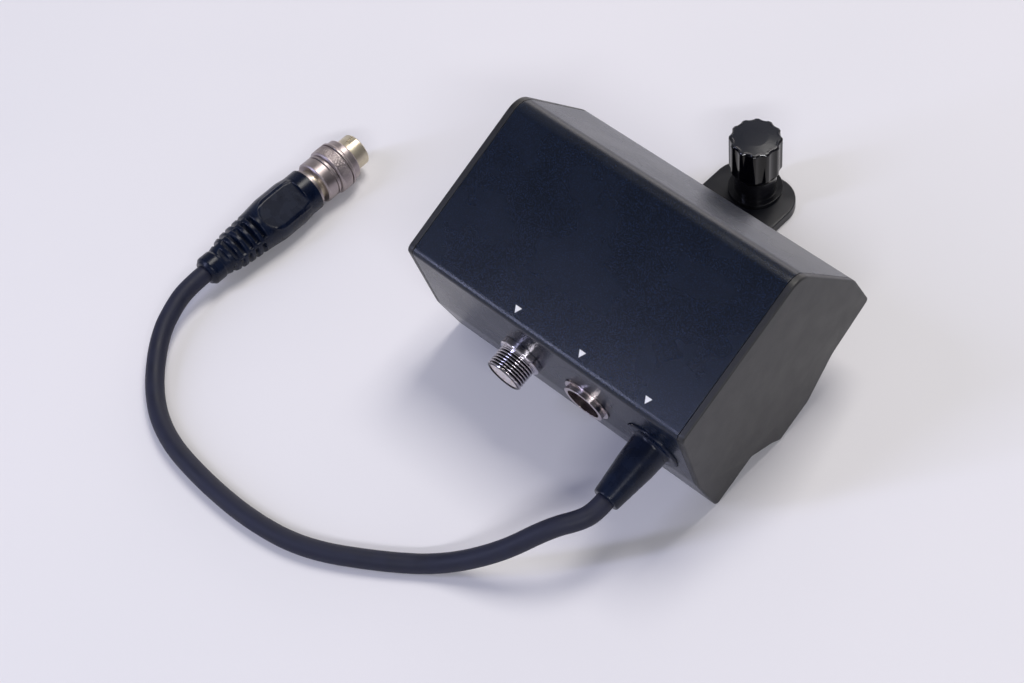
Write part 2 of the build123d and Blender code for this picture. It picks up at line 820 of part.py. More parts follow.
# What both sockets hold: an insulating insert, its contacts and the nut behind the wall
socket_places = {
    "demand_socket": (
        demand_port_x, demand_bore_radius, demand_front - demand_face_recess,
        demand_body_depth, demand_contacts, demand_body_radius,
    ),
    "aux_socket": (
        aux_port_x, aux_insert_bore, aux_shell_reach - aux_bore_depth,
        aux_shell_depth, aux_contacts, aux_shell_radius,
    ),
}
for socket_name, (port_x, bore, face, depth, count, body) in socket_places.items():
    spots = contact_ring(count, bore * contact_ring_share)
    with BuildPart() as socket_insert:
        with BuildSketch(port_plane(port_x, face)):
            Circle(bore - shaft_fit)
        extrude(amount=-(depth + face))
        with BuildSketch(port_plane(port_x, face)):
            with Locations(*spots):
                Circle(contact_radius + shaft_fit)
        extrude(amount=-contact_depth, mode=Mode.SUBTRACT)
    socket_insert.part.label = socket_name + "_insert"
    export_step(socket_insert.part, "parts/" + socket_name + "_insert.step")
    with BuildPart() as socket_contacts:
        with BuildSketch(port_plane(port_x, face - contact_sink)):
            with Locations(*spots):
                Circle(contact_radius)
        extrude(amount=-(contact_depth - contact_sink))
    socket_contacts.part.label = socket_name + "_contacts"
    export_step(socket_contacts.part, "parts/" + socket_name + "_contacts.step")
    with BuildPart() as socket_nut:
        with BuildSketch(port_plane(port_x, -cover_wall)):
            RegularPolygon(body + nut_margin, 6)
            Circle(body + shaft_fit, mode=Mode.SUBTRACT)
        extrude(amount=-nut_height)
    socket_nut.part.label = socket_name + "_nut"
    export_step(socket_nut.part, "parts/" + socket_name + "_nut.step")

# Cable gland: a moulded boot whose flange sits in the wall, held by a ring clip inside
lens_axis = Axis(port_plane(lens_port_x).origin, out_of_slope)
with BuildPart() as cable_gland:
    with BuildSketch(port_axis_plane(lens_port_x)):
        turned([
            (0, -gland_depth),
            (gland_neck_radius, -gland_depth),
            (gland_neck_radius, -gland_flange_sink),
            (gland_flange_radius, -gland_flange_sink),
            (gland_flange_radius, gland_flange_proud - boot_end_rounding),
            (gland_flange_radius - boot_end_rounding, gland_flange_proud),
            (boot_base_radius + 2 * boot_end_rounding, gland_flange_proud),
            (boot_base_radius, gland_flange_proud + 2 * boot_end_rounding),
            (boot_ridge_radius, boot_ridge_reach),
            (boot_ridge_radius - boot_ridge_step, boot_ridge_reach + boot_ridge_step),
            (boot_end_radius, boot_reach - boot_end_rounding),
            (boot_end_radius - boot_end_rounding, boot_reach),
            (0, boot_reach),
        ])
    revolve(axis=lens_axis)
cable_gland.part.label = "cable_gland"
export_step(cable_gland.part, "parts/cable_gland.step")

# Ring clip that holds the gland from inside
with BuildPart() as gland_clip:
    with BuildSketch(port_plane(lens_port_x, -cover_wall)):
        Circle(retainer_radius)
        Circle(gland_neck_radius + shaft_fit, mode=Mode.SUBTRACT)
        with Locations((0, -retainer_radius)):
            Rectangle(gland_neck_radius, 2 * gland_neck_radius, mode=Mode.SUBTRACT)
    extrude(amount=-retainer_thickness)
gland_clip.part.label = "gland_clip"
export_step(gland_clip.part, "parts/gland_clip.step")

# Lens cable: straight runs and arcs that meet them smoothly
plug_axis = Vector(0, 1, 0)
cable_start_x = housing_shift + lens_port_x
plug_origin = Vector(*plug_place) + along_length * cable_start_x
mouth = port_plane(lens_port_x, boot_reach).origin
cable_route = [mouth, mouth + out_of_slope * cable_lead]
cable_route += [Vector(*corner) + along_length * cable_start_x for corner in cable_corners]
cable_route += [plug_origin - plug_axis * cable_tail, plug_origin]
cable_bends = []
for before, corner, after in zip(cable_route, cable_route[1:], cable_route[2:]):
    turn = radians((corner - before).get_angle(after - corner))
    shorter_run = min((corner - before).length, (after - corner).length)
    cable_bends.append(arc_share * shorter_run / tan(turn / 2))
print("cable bend radii:", [round(bend, 1) for bend in cable_bends])
with BuildPart() as lens_cable:
    with BuildLine():
        FilletPolyline(*cable_route, radius=cable_bends)
    with BuildSketch(Plane(origin=mouth, z_dir=out_of_slope)):
        Circle(cable_radius)
    sweep()
lens_cable.part.label = "lens_cable"
export_step(lens_cable.part, "parts/lens_cable.step")

# Plug: profiles are (radius, distance from the boot's small end), turned about the plug's axis
plug_profile_plane = Plane(origin=plug_origin, x_dir=(1, 0, 0), z_dir=(0, 0, 1))
plug_line = Axis(plug_origin, plug_axis)
slot_pitch = (plug_rib_end - plug_cuff_length) / plug_slot_top_count
slot_width = slot_pitch * plug_slot_share
slot_floor = plug_cuff_radius - plug_slot_depth / 2
pad_round = plug_pad_width / 2
pad_straight = plug_pad_end - plug_pad_start - pad_round

# Strain relief boot: a slotted tail, a fat grip with flat pads, and a pocket for the metal collar
with BuildPart() as plug_boot:
    with BuildSketch(plug_profile_plane):
        turned([
            (0, 0),
            (plug_boot_end_radius - boot_end_rounding, 0),
            (plug_boot_end_radius, boot_end_rounding),
            (plug_cuff_radius, plug_cuff_length - boot_end_rounding),
            (plug_cuff_radius - boot_end_rounding, plug_cuff_length),
            (plug_rib_start_radius, plug_rib_start),
            (plug_rib_end_radius, plug_rib_end),
            (plug_grip_radius, plug_grip_start),
            (plug_grip_radius, plug_grip_end),
            (plug_neck_radius, plug_neck_start),
            (plug_neck_radius, plug_boot_length),
            (plug_core_radius + shaft_fit, plug_boot_length),
            (plug_core_radius + shaft_fit, plug_core_start),
            (0, plug_core_start),
        ])
    revolve(axis=plug_line)
    for quarter in range(4):
        count = plug_slot_side_count if quarter % 2 else plug_slot_top_count
        first = plug_cuff_length + slot_pitch * (1 if quarter % 2 else 1 / 2)
        for i in range(count):
            slot_plane = plug_plane(first + i * slot_pitch - slot_width / 2).rotated((0, 0, 90 * quarter))
            with BuildSketch(slot_plane):
                with Locations((0, slot_floor)):
                    Rectangle(2 * slot_floor, plug_grip_radius, align=(Align.CENTER, Align.MIN))
            extrude(amount=slot_width, mode=Mode.SUBTRACT)
    for side in (-1, 1):
        pad_plane = Plane.XY.offset(plug_origin.Z + side * plug_pad_height)
        with BuildSketch(pad_plane):
            with Locations((plug_origin.X, plug_origin.Y + plug_pad_start + pad_round)):
                Circle(pad_round)
                Rectangle(plug_pad_width, pad_straight, align=(Align.CENTER, Align.MIN))
        extrude(amount=side * plug_grip_radius, mode=Mode.SUBTRACT)
rolled_boot = plug_boot.part.rotate(plug_line, plug_boot_roll)
rolled_boot.label = "plug_boot"
export_step(rolled_boot, "parts/plug_boot.step")

# Metal collar: the pale ring ahead of the boot, with a tail inside it
plug_ring_end = plug_boot_length + plug_ring_length
with BuildPart() as plug_collar:
    with BuildSketch(plug_profile_plane):
        turned([
            (plug_core_bore, plug_core_start),
            (plug_core_radius, plug_core_start),
            (plug_core_radius, plug_boot_length),
            (plug_collar_radius, plug_boot_length),
            (plug_collar_radius, plug_ring_end),
            (plug_core_bore, plug_ring_end),
        ])
    revolve(axis=plug_line)
plug_collar.part.label = "plug_collar"
export_step(plug_collar.part, "parts/plug_collar.step")

# Barrel: the fixed front shell, with a tail in the collar and a band that stops the sleeve
band_start = sleeve_stop_start + seam_gap / 3
band_end = band_start + sleeve_stop_band
with BuildPart() as plug_barrel:
    with BuildSketch(plug_profile_plane):
        turned([
            (plug_tail_bore, plug_tail_start),
            (plug_core_bore - shaft_fit, plug_tail_start),
            (plug_core_bore - shaft_fit, plug_ring_end),
            (barrel_waist, plug_ring_end),
            (barrel_waist, band_start),
            (sleeve_stop_radius, band_start),
            (sleeve_stop_radius, band_end),
            (barrel_waist, band_end),
            (barrel_waist, sleeve_end + fit_gap),
            (barrel_radius, sleeve_end + fit_gap),
            (barrel_radius, barrel_end - sleeve_edge),
            (barrel_radius - sleeve_edge, barrel_end),
            (plug_core_bore, barrel_end),
            (plug_core_bore, plug_insert_start),
            (plug_tail_bore, plug_insert_start),
        ])
    revolve(axis=plug_line)
    with BuildSketch(plug_plane(barrel_end - key_length)):
        with Locations((0, -barrel_radius)):
            Rectangle(key_width, 2 * key_depth)
    extrude(amount=key_length, mode=Mode.SUBTRACT)
plug_barrel.part.label = "plug_barrel"
export_step(plug_barrel.part, "parts/plug_barrel.step")

# Coupling sleeve: it slides back on the barrel to let the plug go
sleeve_bore = barrel_waist + sleeve_fit
pocket_bore = sleeve_stop_radius + sleeve_fit
pocket_end = band_end + sleeve_travel + seam_gap / 3
groove_in, groove_mid, groove_out = sleeve_grooves
with BuildPart() as coupling_sleeve:
    with BuildSketch(plug_profile_plane):
        turned([
            (pocket_bore, groove_in),
            (sleeve_groove_radius, groove_in),
            (sleeve_groove_radius, groove_in + sleeve_groove_width),
            (sleeve_rear_radius, groove_in + sleeve_groove_width),
            (sleeve_rear_radius, groove_mid),
            (sleeve_groove_radius, groove_mid),
            (sleeve_groove_radius, groove_mid + sleeve_groove_width),
            (sleeve_rear_radius, sleeve_shoulder),
            (sleeve_radius, sleeve_shoulder + sleeve_edge),
            (sleeve_radius, groove_out),
            (sleeve_front_radius, groove_out),
            (sleeve_front_radius, groove_out + sleeve_groove_width),
            (sleeve_radius, groove_out + sleeve_groove_width),
            (sleeve_radius, sleeve_nose),
            (sleeve_front_radius, sleeve_nose + sleeve_edge),
            (sleeve_front_radius, sleeve_end - sleeve_edge),
            (sleeve_front_radius - sleeve_edge, sleeve_end),
            (sleeve_bore, sleeve_end),
            (sleeve_bore, pocket_end),
            (pocket_bore, pocket_end),
        ])
    revolve(axis=plug_line)
coupling_sleeve.part.label = "coupling_sleeve"
export_step(coupling_sleeve.part, "parts/coupling_sleeve.step")

# Sleeve's rear ring: it closes the sleeve behind the barrel's band
with BuildPart() as sleeve_rear_ring:
    with BuildSketch(plug_profile_plane):
        turned([
            (sleeve_bore, sleeve_start),
            (sleeve_rear_radius - sleeve_edge, sleeve_start),
            (sleeve_rear_radius, sleeve_start + sleeve_edge),
            (sleeve_rear_radius, groove_in),
            (pocket_bore - shaft_fit, groove_in),
            (pocket_bore - shaft_fit, sleeve_stop_start),
            (sleeve_bore, sleeve_stop_start),
        ])
    revolve(axis=plug_line)
sleeve_rear_ring.part.label = "sleeve_rear_ring"
export_step(sleeve_rear_ring.part, "parts/sleeve_rear_ring.step")

# Plug's insulating insert and its pins
insert_face = barrel_end - barrel_face_recess
plug_pin_spots = contact_ring(plug_contacts, plug_core_bore * contact_ring_share)
with BuildPart() as plug_insert:
    with BuildSketch(plug_plane(plug_insert_start)):
        Circle(plug_core_bore - shaft_fit)
        with Locations(*plug_pin_spots):
            Circle(plug_contact_radius + shaft_fit, mode=Mode.SUBTRACT)
    extrude(amount=insert_face - plug_insert_start)
plug_insert.part.label = "plug_insert"
export_step(plug_insert.part, "parts/plug_insert.step")
with BuildPart() as plug_pins:
    with BuildSketch(plug_plane(plug_insert_start)):
        with Locations(*plug_pin_spots):
            Circle(plug_contact_radius)
    extrude(amount=insert_face + plug_contact_reach - plug_insert_start)
plug_pins.part.label = "plug_pins"
export_step(plug_pins.part, "parts/plug_pins.step")


def involute(angle):
    return tan(angle) - angle


def polar(radius, angle):
    return (radius * cos(angle), radius * sin(angle))


def toothed(teeth, module, first_tooth):
    """Draws a gear's outline with involute flanks and a tooth's middle at the first angle."""
    pitch_circle = teeth * module / 2
    base_circle = pitch_circle * cos(radians(pressure_angle))
    root_circle = pitch_circle - module * dedendum_share
    tip_circle = pitch_circle + module * addendum_share
    flank_start = max(base_circle, root_circle)
    half_at_pitch = pi / (2 * teeth) - backlash / (4 * pitch_circle)

    def half_tooth(radius):
        return half_at_pitch + involute(radians(pressure_angle)) - involute(acos(base_circle / radius))

    flank = [(r, half_tooth(r)) for r in (flank_start, (flank_start + tip_circle) / 2, tip_circle)]
    foot = (root_circle, flank[0][1])
    with BuildLine() as edge:
        for i in range(teeth):
            middle = first_tooth + 2 * pi * i / teeth
            rising = [polar(r, middle - half) for r, half in flank]
            falling = [polar(r, middle + half) for r, half in reversed(flank)]
            feet = [polar(foot[0], middle + side * foot[1]) for side in (-1, 1)]
            next_foot = polar(foot[0], middle + 2 * pi / teeth - foot[1])
            if root_circle < flank_start:
                Line(feet[0], rising[0])
                Line(falling[-1], feet[1])
            ThreePointArc(*rising)
            Line(rising[-1], falling[0])
            ThreePointArc(*falling)
            Line(feet[1], next_foot)
    make_face(edge.edges())


def gear_disc(x, width, spot, teeth, module, first_tooth):
    """Adds a toothed disc to the current part."""
    centre = end_plane(x).from_local_coords(Vector(*spot))
    with BuildSketch(Plane(origin=centre, x_dir=along_top, z_dir=along_length)) as outline:
        toothed(teeth, module, first_tooth)
    extrude(outline.sketch, amount=width)


def bar(from_x, to_x, spots, radius, mode=Mode.ADD):
    """Adds or cuts round bars along the housing's length at places given as (back, height)."""
    with BuildSketch(end_plane(from_x)) as ends:
        with Locations(*spots):
            Circle(radius)
    extrude(ends.sketch, amount=to_x - from_x, dir=along_length, mode=mode)


# Gear centres: the idler meshes with the output gear and the motor's pinion at once
output_spot = (output_back, output_height)
motor_spot = (motor_back, motor_height)
last_centres = (output_teeth + idler_pinion_teeth) * last_module / 2
first_centres = (pinion_teeth + idler_teeth) * first_module / 2
encoder_centres = (encoder_teeth + idler_teeth) * first_module / 2
apart = hypot(motor_back - output_back, motor_height - output_height)
toward = ((motor_back - output_back) / apart, (motor_height - output_height) / apart)
idler_along = (last_centres**2 - first_centres**2 + apart**2) / (2 * apart)
idler_aside = sqrt(last_centres**2 - idler_along**2)
idler_spot = (
    output_back + toward[0] * idler_along - toward[1] * idler_aside,
    output_height + toward[1] * idler_along + toward[0] * idler_aside,
)
encoder_spot = (
    idler_spot[0] + encoder_centres * cos(radians(encoder_bearing)),
    idler_spot[1] + encoder_centres * sin(radians(encoder_bearing)),
)


def meshed(spot, teeth, first_tooth, other_spot, other_teeth):
    """First tooth angle of a gear that meshes with one already placed."""
    bearing = atan2(other_spot[1] - spot[1], other_spot[0] - spot[0])
    return bearing + pi + (bearing - first_tooth) * teeth / other_teeth + pi / other_teeth


idler_tooth = meshed(output_spot, output_teeth, 0, idler_spot, idler_pinion_teeth)
pinion_tooth = meshed(idler_spot, idler_teeth, 0, motor_spot, pinion_teeth)
encoder_tooth = meshed(idler_spot, idler_teeth, 0, encoder_spot, encoder_teeth)
hub_left = frame_inner_x[0] + frame_hub_gap
hub_right = frame_inner_x[1] - frame_hub_gap
shaft_hole = shaft_radius + shaft_fit
bearing_hole = shaft_radius + running_gap / 2

# Output gear, exposed below the keel
with BuildPart() as output_gear:
    gear_disc(last_face_x, last_face_width, output_spot, output_teeth, last_module, 0)
    bar(hub_left, hub_right, [output_spot], hub_radius)
    bar(hub_left, hub_right, [output_spot], shaft_hole, Mode.SUBTRACT)
output_gear.part.label = "output_gear"
export_step(output_gear.part, "parts/output_gear.step")

# Idler: a wheel driven by the motor and a pinion that drives the output gear
with BuildPart() as idler_gear:
    gear_disc(first_face_x, first_face_width, idler_spot, idler_teeth, first_module, 0)
    gear_disc(last_face_x, last_face_width, idler_spot, idler_pinion_teeth, last_module, idler_tooth)
    bar(hub_left, hub_right, [idler_spot], hub_radius)
    bar(hub_left, hub_right, [idler_spot], shaft_hole, Mode.SUBTRACT)
idler_gear.part.label = "idler_gear"
export_step(idler_gear.part, "parts/idler_gear.step")

# Motor's pinion
with BuildPart() as motor_pinion:
    gear_disc(first_face_x, first_face_width, motor_spot, pinion_teeth, first_module, pinion_tooth)
    bar(first_face_x, pinion_hub_end, [motor_spot], hub_radius)
    bar(first_face_x, pinion_hub_end, [motor_spot], shaft_hole, Mode.SUBTRACT)
motor_pinion.part.label = "motor_pinion"
export_step(motor_pinion.part, "parts/motor_pinion.step")

# Encoder's gear
with BuildPart() as encoder_gear:
    gear_disc(first_face_x, first_face_width, encoder_spot, encoder_teeth, first_module, encoder_tooth)
    bar(hub_left, pinion_hub_end, [encoder_spot], hub_radius)
    bar(hub_left, pinion_hub_end, [encoder_spot], shaft_hole, Mode.SUBTRACT)
encoder_gear.part.label = "encoder_gear"
export_step(encoder_gear.part, "parts/encoder_gear.step")

# Shafts, each held by its gear
encoder_front = frame_right_x
shaft_spans = {
    "output_shaft": (frame_left_x, frame_right_x, output_spot),
    "idler_shaft": (frame_left_x, frame_right_x, idler_spot),
    "encoder_shaft": (frame_left_x, encoder_front + encoder_shaft_sink, encoder_spot),
    "motor_shaft": (frame_left_x - motor_shaft_sink, pinion_hub_end, motor_spot),
}
for shaft_name, (from_x, to_x, spot) in shaft_spans.items():
    with BuildPart() as shaft:
        bar(from_x, to_x, [spot], shaft_radius)
    shaft.part.label = shaft_name
    export_step(shaft.part, "parts/" + shaft_name + ".step")

# Gear frame: two plates on feet, held apart by pillars
motor_screw_spots = [
    (motor_back + motor_screw_ring * cos(2 * pi * i / motor_screw_count),
     motor_height + motor_screw_ring * sin(2 * pi * i / motor_screw_count))
    for i in range(motor_screw_count)
]
pillar_spots = [(frame_back * along, floor_height * down) for along, down in pillar_spot_shares]
small_hole = small_screw_radius + thread_clearance
small_clearance = small_screw_radius + fit_gap
frame_sides = (("left_frame_plate", frame_left_x, 1), ("right_frame_plate", frame_right_x, -1))
for plate_name, outer_x, side in frame_sides:
    inner_x = outer_x + side * frame_thickness
    with BuildPart() as frame_plate:
        with BuildSketch(end_plane(outer_x)):
            Polygon(
                (frame_top_front, -frame_top),
                (frame_top_back, -frame_top),
                (frame_back, -frame_shoulder_drop),
                (frame_back, floor_height),
                (frame_well_back, floor_height),
                (frame_well_back, -frame_well_drop),
                (frame_well_front, -frame_well_drop),
                (frame_well_front, floor_height),
                (frame_front, floor_height),
                (frame_front, -frame_step_drop),
                (frame_top_front, -frame_step_top),
                align=None,
            )
        extrude(amount=side * frame_thickness)
        for row in foot_rows:
            with BuildSketch(level_plane(floor_height)):
                with Locations((inner_x + side * frame_foot_length / 2, row + frame_foot_width / 2)):
                    Rectangle(frame_foot_length, frame_foot_width)
            extrude(amount=frame_thickness)
        bar(outer_x, inner_x, [output_spot, idler_spot], bearing_hole, Mode.SUBTRACT)
        bar(outer_x, inner_x, pillar_spots, small_clearance, Mode.SUBTRACT)
        if side > 0:
            bar(outer_x, inner_x, [encoder_spot], bearing_hole, Mode.SUBTRACT)
            bar(outer_x, inner_x, [motor_spot], gearhead_pilot_radius + shaft_fit, Mode.SUBTRACT)
            bar(outer_x, inner_x, motor_screw_spots, small_clearance, Mode.SUBTRACT)
        else:
            bar(outer_x, inner_x, [encoder_spot], encoder_bush_radius + shaft_fit, Mode.SUBTRACT)
        with BuildSketch(level_plane(floor_height)):
            with Locations(*frame_screw_places):
                Circle(small_clearance)
        extrude(amount=frame_thickness, mode=Mode.SUBTRACT)
    frame_plate.part.label = plate_name
    export_step(frame_plate.part, "parts/" + plate_name + ".step")

# Pillars, tapped at both ends
small_grip = small_screw_grip + screw_clearance
with BuildPart() as frame_pillars:
    bar(frame_inner_x[0], frame_inner_x[1], pillar_spots, pillar_radius)
    bar(frame_inner_x[0], frame_inner_x[0] + small_grip, pillar_spots, small_hole, Mode.SUBTRACT)
    bar(frame_inner_x[1], frame_inner_x[1] - small_grip, pillar_spots, small_hole, Mode.SUBTRACT)
frame_pillars.part.label = "frame_pillars"
export_step(frame_pillars.part, "parts/frame_pillars.step")

# Screws along the length: into the pillars from both sides, and through the left plate into the gearhead
with BuildPart() as pillar_screws:
    for outer_x, side in ((frame_left_x, 1), (frame_right_x, -1)):
        tip_x = outer_x + side * (frame_thickness + small_screw_grip)
        bar(outer_x, tip_x, pillar_spots, small_screw_radius)
        bar(outer_x - side * small_screw_head_height, outer_x, pillar_spots, small_screw_head_radius)
pillar_screws.part.label = "pillar_screws"
export_step(pillar_screws.part, "parts/pillar_screws.step")
motor_screw_seat = frame_inner_x[0]
with BuildPart() as motor_screws:
    bar(frame_left_x - small_screw_grip, motor_screw_seat, motor_screw_spots, small_screw_radius)
    head_top = motor_screw_seat + small_screw_head_height
    bar(motor_screw_seat, head_top, motor_screw_spots, small_screw_head_radius)
motor_screws.part.label = "motor_screws"
export_step(motor_screws.part, "parts/motor_screws.step")

# Screws down into the base: through the frame's feet, and through the circuit board and its standoffs
board_top = floor_height + board_lift + board_thickness
small_screw_groups = (
    ("frame_screws", frame_screw_places, floor_height + frame_thickness),
    ("board_screws", board_screw_places, board_top),
)
for screws_name, places, seat_height in small_screw_groups:
    with BuildPart() as small_screws:
        with BuildSketch(level_plane(floor_height - small_screw_grip)):
            with Locations(*places):
                Circle(small_screw_radius)
        extrude(amount=seat_height - floor_height + small_screw_grip)
        with BuildSketch(level_plane(seat_height)):
            with Locations(*places):
                Circle(small_screw_head_radius)
        extrude(amount=small_screw_head_height)
    small_screws.part.label = screws_name
    export_step(small_screws.part, "parts/" + screws_name + ".step")

# Gearhead and motor behind the left plate
gearhead_end = frame_left_x - gearhead_length
with BuildPart() as motor_gearhead:
    bar(gearhead_end, frame_left_x, [motor_spot], gearhead_radius)
    bar(frame_left_x, frame_left_x + gearhead_pilot_length, [motor_spot], gearhead_pilot_radius)
    bar(frame_left_x - motor_shaft_sink, frame_inner_x[0], [motor_spot], bearing_hole, Mode.SUBTRACT)
    bar(frame_left_x - small_grip, frame_left_x, motor_screw_spots, small_hole, Mode.SUBTRACT)
motor_gearhead.part.label = "motor_gearhead"
export_step(motor_gearhead.part, "parts/motor_gearhead.step")
motor_end = gearhead_end - motor_length
with BuildPart() as motor:
    bar(motor_end, gearhead_end, [motor_spot], motor_radius)
    bar(motor_end - motor_boss_length, motor_end, [motor_spot], motor_boss_radius)
motor.part.label = "motor"
export_step(motor.part, "parts/motor.step")

# Encoder on the right plate: its bush goes through the plate and a nut holds it
with BuildPart() as encoder:
    bar(encoder_front, encoder_front + encoder_length, [encoder_spot], encoder_radius)
    bar(encoder_front - encoder_bush_length, encoder_front, [encoder_spot], encoder_bush_radius)
    bar(encoder_front - encoder_bush_length, encoder_front + encoder_shaft_sink, [encoder_spot], bearing_hole,
        Mode.SUBTRACT)
encoder.part.label = "encoder"
export_step(encoder.part, "parts/encoder.step")
with BuildPart() as encoder_nut:
    with BuildSketch(end_plane(frame_inner_x[1])):
        with Locations(encoder_spot):
            RegularPolygon(encoder_nut_radius, 6)
            Circle(encoder_bush_radius + shaft_fit, mode=Mode.SUBTRACT)
    extrude(amount=-encoder_nut_thickness)
encoder_nut.part.label = "encoder_nut"
export_step(encoder_nut.part, "parts/encoder_nut.step")

# Circuit board on its standoffs
board_length = board_right_x - board_left_x
board_width = board_back - board_front
board_middle = ((board_left_x + board_right_x) / 2, (board_front + board_back) / 2)
with BuildPart() as board_standoffs:
    with BuildSketch(level_plane(floor_height)):
        with Locations(*board_screw_places):
            Circle(standoff_radius)
            Circle(small_clearance, mode=Mode.SUBTRACT)
    extrude(amount=board_lift)
board_standoffs.part.label = "board_standoffs"
export_step(board_standoffs.part, "parts/board_standoffs.step")
with BuildPart() as circuit_board:
    with BuildSketch(level_plane(floor_height + board_lift)):
        with Locations(board_middle):
            Rectangle(board_length, board_width)
        with Locations(*board_screw_places):
            Circle(small_clearance, mode=Mode.SUBTRACT)
    extrude(amount=board_thickness)
circuit_board.part.label = "circuit_board"
export_step(circuit_board.part, "parts/circuit_board.step")
with BuildPart() as board_components:
    with BuildSketch(level_plane(board_top)):
        for across, back, length, width in chip_box_shares:
            with Locations((board_left_x + board_length * across, board_front + board_width * back)):
                Rectangle(board_length * length, board_width * width)
    extrude(amount=chip_height)
    with BuildSketch(level_plane(board_top)):
        for across, back in capacitor_spot_shares:
            with Locations((board_left_x + board_length * across, board_front + board_width * back)):
                Circle(capacitor_radius)
    extrude(amount=capacitor_height)
board_components.part.label = "board_components"
export_step(board_components.part, "parts/board_components.step")
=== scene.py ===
import json

import bmesh
import bpy
import numpy as np
from mathutils import Matrix, Vector


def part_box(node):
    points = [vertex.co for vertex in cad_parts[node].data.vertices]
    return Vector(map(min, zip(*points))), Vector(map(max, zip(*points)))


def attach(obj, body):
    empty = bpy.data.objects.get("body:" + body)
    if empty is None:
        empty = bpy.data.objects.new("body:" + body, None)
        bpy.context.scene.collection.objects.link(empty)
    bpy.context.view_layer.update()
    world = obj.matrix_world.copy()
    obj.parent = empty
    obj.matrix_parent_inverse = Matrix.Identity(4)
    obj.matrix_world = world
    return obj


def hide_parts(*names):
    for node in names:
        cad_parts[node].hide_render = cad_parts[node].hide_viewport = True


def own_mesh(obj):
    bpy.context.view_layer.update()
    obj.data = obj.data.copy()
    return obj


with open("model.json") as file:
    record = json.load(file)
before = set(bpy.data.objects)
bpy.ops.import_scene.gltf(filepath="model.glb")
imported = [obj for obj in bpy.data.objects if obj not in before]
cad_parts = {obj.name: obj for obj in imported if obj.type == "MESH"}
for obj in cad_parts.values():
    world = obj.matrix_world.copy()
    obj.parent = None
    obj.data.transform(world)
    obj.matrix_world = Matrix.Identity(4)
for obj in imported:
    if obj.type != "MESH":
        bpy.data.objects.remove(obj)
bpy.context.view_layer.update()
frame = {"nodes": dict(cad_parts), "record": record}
mm = 0.001
mounts = {mount["name"]: mount for mount in frame["record"]["mounts"]}
print("frame loaded with", len(frame["nodes"]), "nodes")


def hexColour(text):
    # sRGB hex turned into linear red, green, blue and a full alpha
    channels = np.array([int(text[i:i + 2], 16) for i in (0, 2, 4)]) / 255
    linear = np.where(channels <= 0.04045, channels / 12.92, ((channels + 0.055) / 1.055) ** 2.4)
    return (*linear.tolist(), 1.0)


def addNode(tree, kind, inputs=None, **settings):
    # one node: settings are set on it, inputs are values or the sockets that feed it
    node = tree.nodes.new("ShaderNode" + kind)
    for name, value in settings.items():
        setattr(node, name, value)
    for name, value in (inputs or {}).items():
        if isinstance(value, bpy.types.NodeSocket):
            tree.links.new(value, node.inputs[name])
        else:
            node.inputs[name].default_value = value
    return node


def addObject(name, data):
    piece = bpy.data.objects.new(name, data)
    bpy.context.scene.collection.objects.link(piece)
    return piece


# Camera: solved from the housing's edges and the plug's axis
cameraFacts = {
    "position": (0.2670, -0.30314, 0.49807),
    "right": (0.7256, 0.6833, -0.0810),
    "down": (0.5144, -0.6168, -0.5958),
    "forward": (-0.4571, 0.3907, -0.7990),
    "lens": 80.05, "sensor": 36, "nearest": 0.01,
}
cameraData = bpy.data.cameras.new("camera")
cameraData.lens = cameraFacts["lens"]
cameraData.sensor_width = cameraFacts["sensor"]
cameraData.clip_start = cameraFacts["nearest"]
camera = addObject("camera", cameraData)
cameraAxes = Matrix((
    cameraFacts["right"], -Vector(cameraFacts["down"]), -Vector(cameraFacts["forward"])))
cameraTurn = cameraAxes.transposed().to_quaternion().to_matrix().to_4x4()
camera.matrix_world = Matrix.Translation(cameraFacts["position"]) @ cameraTurn
bpy.context.scene.camera = camera
bpy.context.scene.view_settings.view_transform = "Standard"
print("camera placed")

# Materials: sizes in a look are millimetres, and these hold where a look doesn't say
usualLook = {"edge": 0.12, "strength": 0.6, "metallic": 0.0, "cloudDetail": 3.0,
             "grainDetail": 2.0, "edgeSamples": 4}
cloudBand = (0.3, 0.7)                      # where the clouds' noise turns dark and light


def dressSurface(name, look):
    # cloudy colour, uneven gloss and a fine relief on a bare shader, in the object's coordinates
    look = {**usualLook, **look}
    material = bpy.data.materials.new(name)
    material.use_nodes = True
    tree = material.node_tree
    shader = tree.nodes["Principled BSDF"]
    place = addNode(tree, "TexCoord").outputs["Object"]
    cloud = addNode(tree, "TexNoise", {
        "Vector": place, "Scale": 1 / (look["cloudSize"] * mm),
        "Detail": look["cloudDetail"]}).outputs["Fac"]
    tone = addNode(tree, "ValToRGB", {"Fac": cloud})
    for stop, position, colour in zip(tone.color_ramp.elements, cloudBand, ("dark", "light")):
        stop.position = position
        stop.color = hexColour(look[colour])
    gloss = addNode(tree, "MapRange", {
        "Value": cloud, "From Min": cloudBand[0], "From Max": cloudBand[1],
        "To Min": look["rough"][0], "To Max": look["rough"][1]})
    grain = addNode(tree, "TexNoise", {
        "Vector": place, "Scale": 1 / (look["grainSize"] * mm), "Detail": look["grainDetail"]})
    edge = addNode(tree, "Bevel", {"Radius": look["edge"] * mm}, samples=look["edgeSamples"])
    relief = addNode(tree, "Bump", {
        "Strength": look["strength"], "Distance": look["grainDepth"] * mm,
        "Height": grain.outputs["Fac"], "Normal": edge.outputs["Normal"]})
    tree.links.new(tone.outputs["Color"], shader.inputs["Base Color"])
    tree.links.new(gloss.outputs["Result"], shader.inputs["Roughness"])
    tree.links.new(relief.outputs["Normal"], shader.inputs["Normal"])
    shader.inputs["Metallic"].default_value = look["metallic"]
    if "ior" in look:
        shader.inputs["IOR"].default_value = look["ior"]
    return material, tree, shader, place, grain


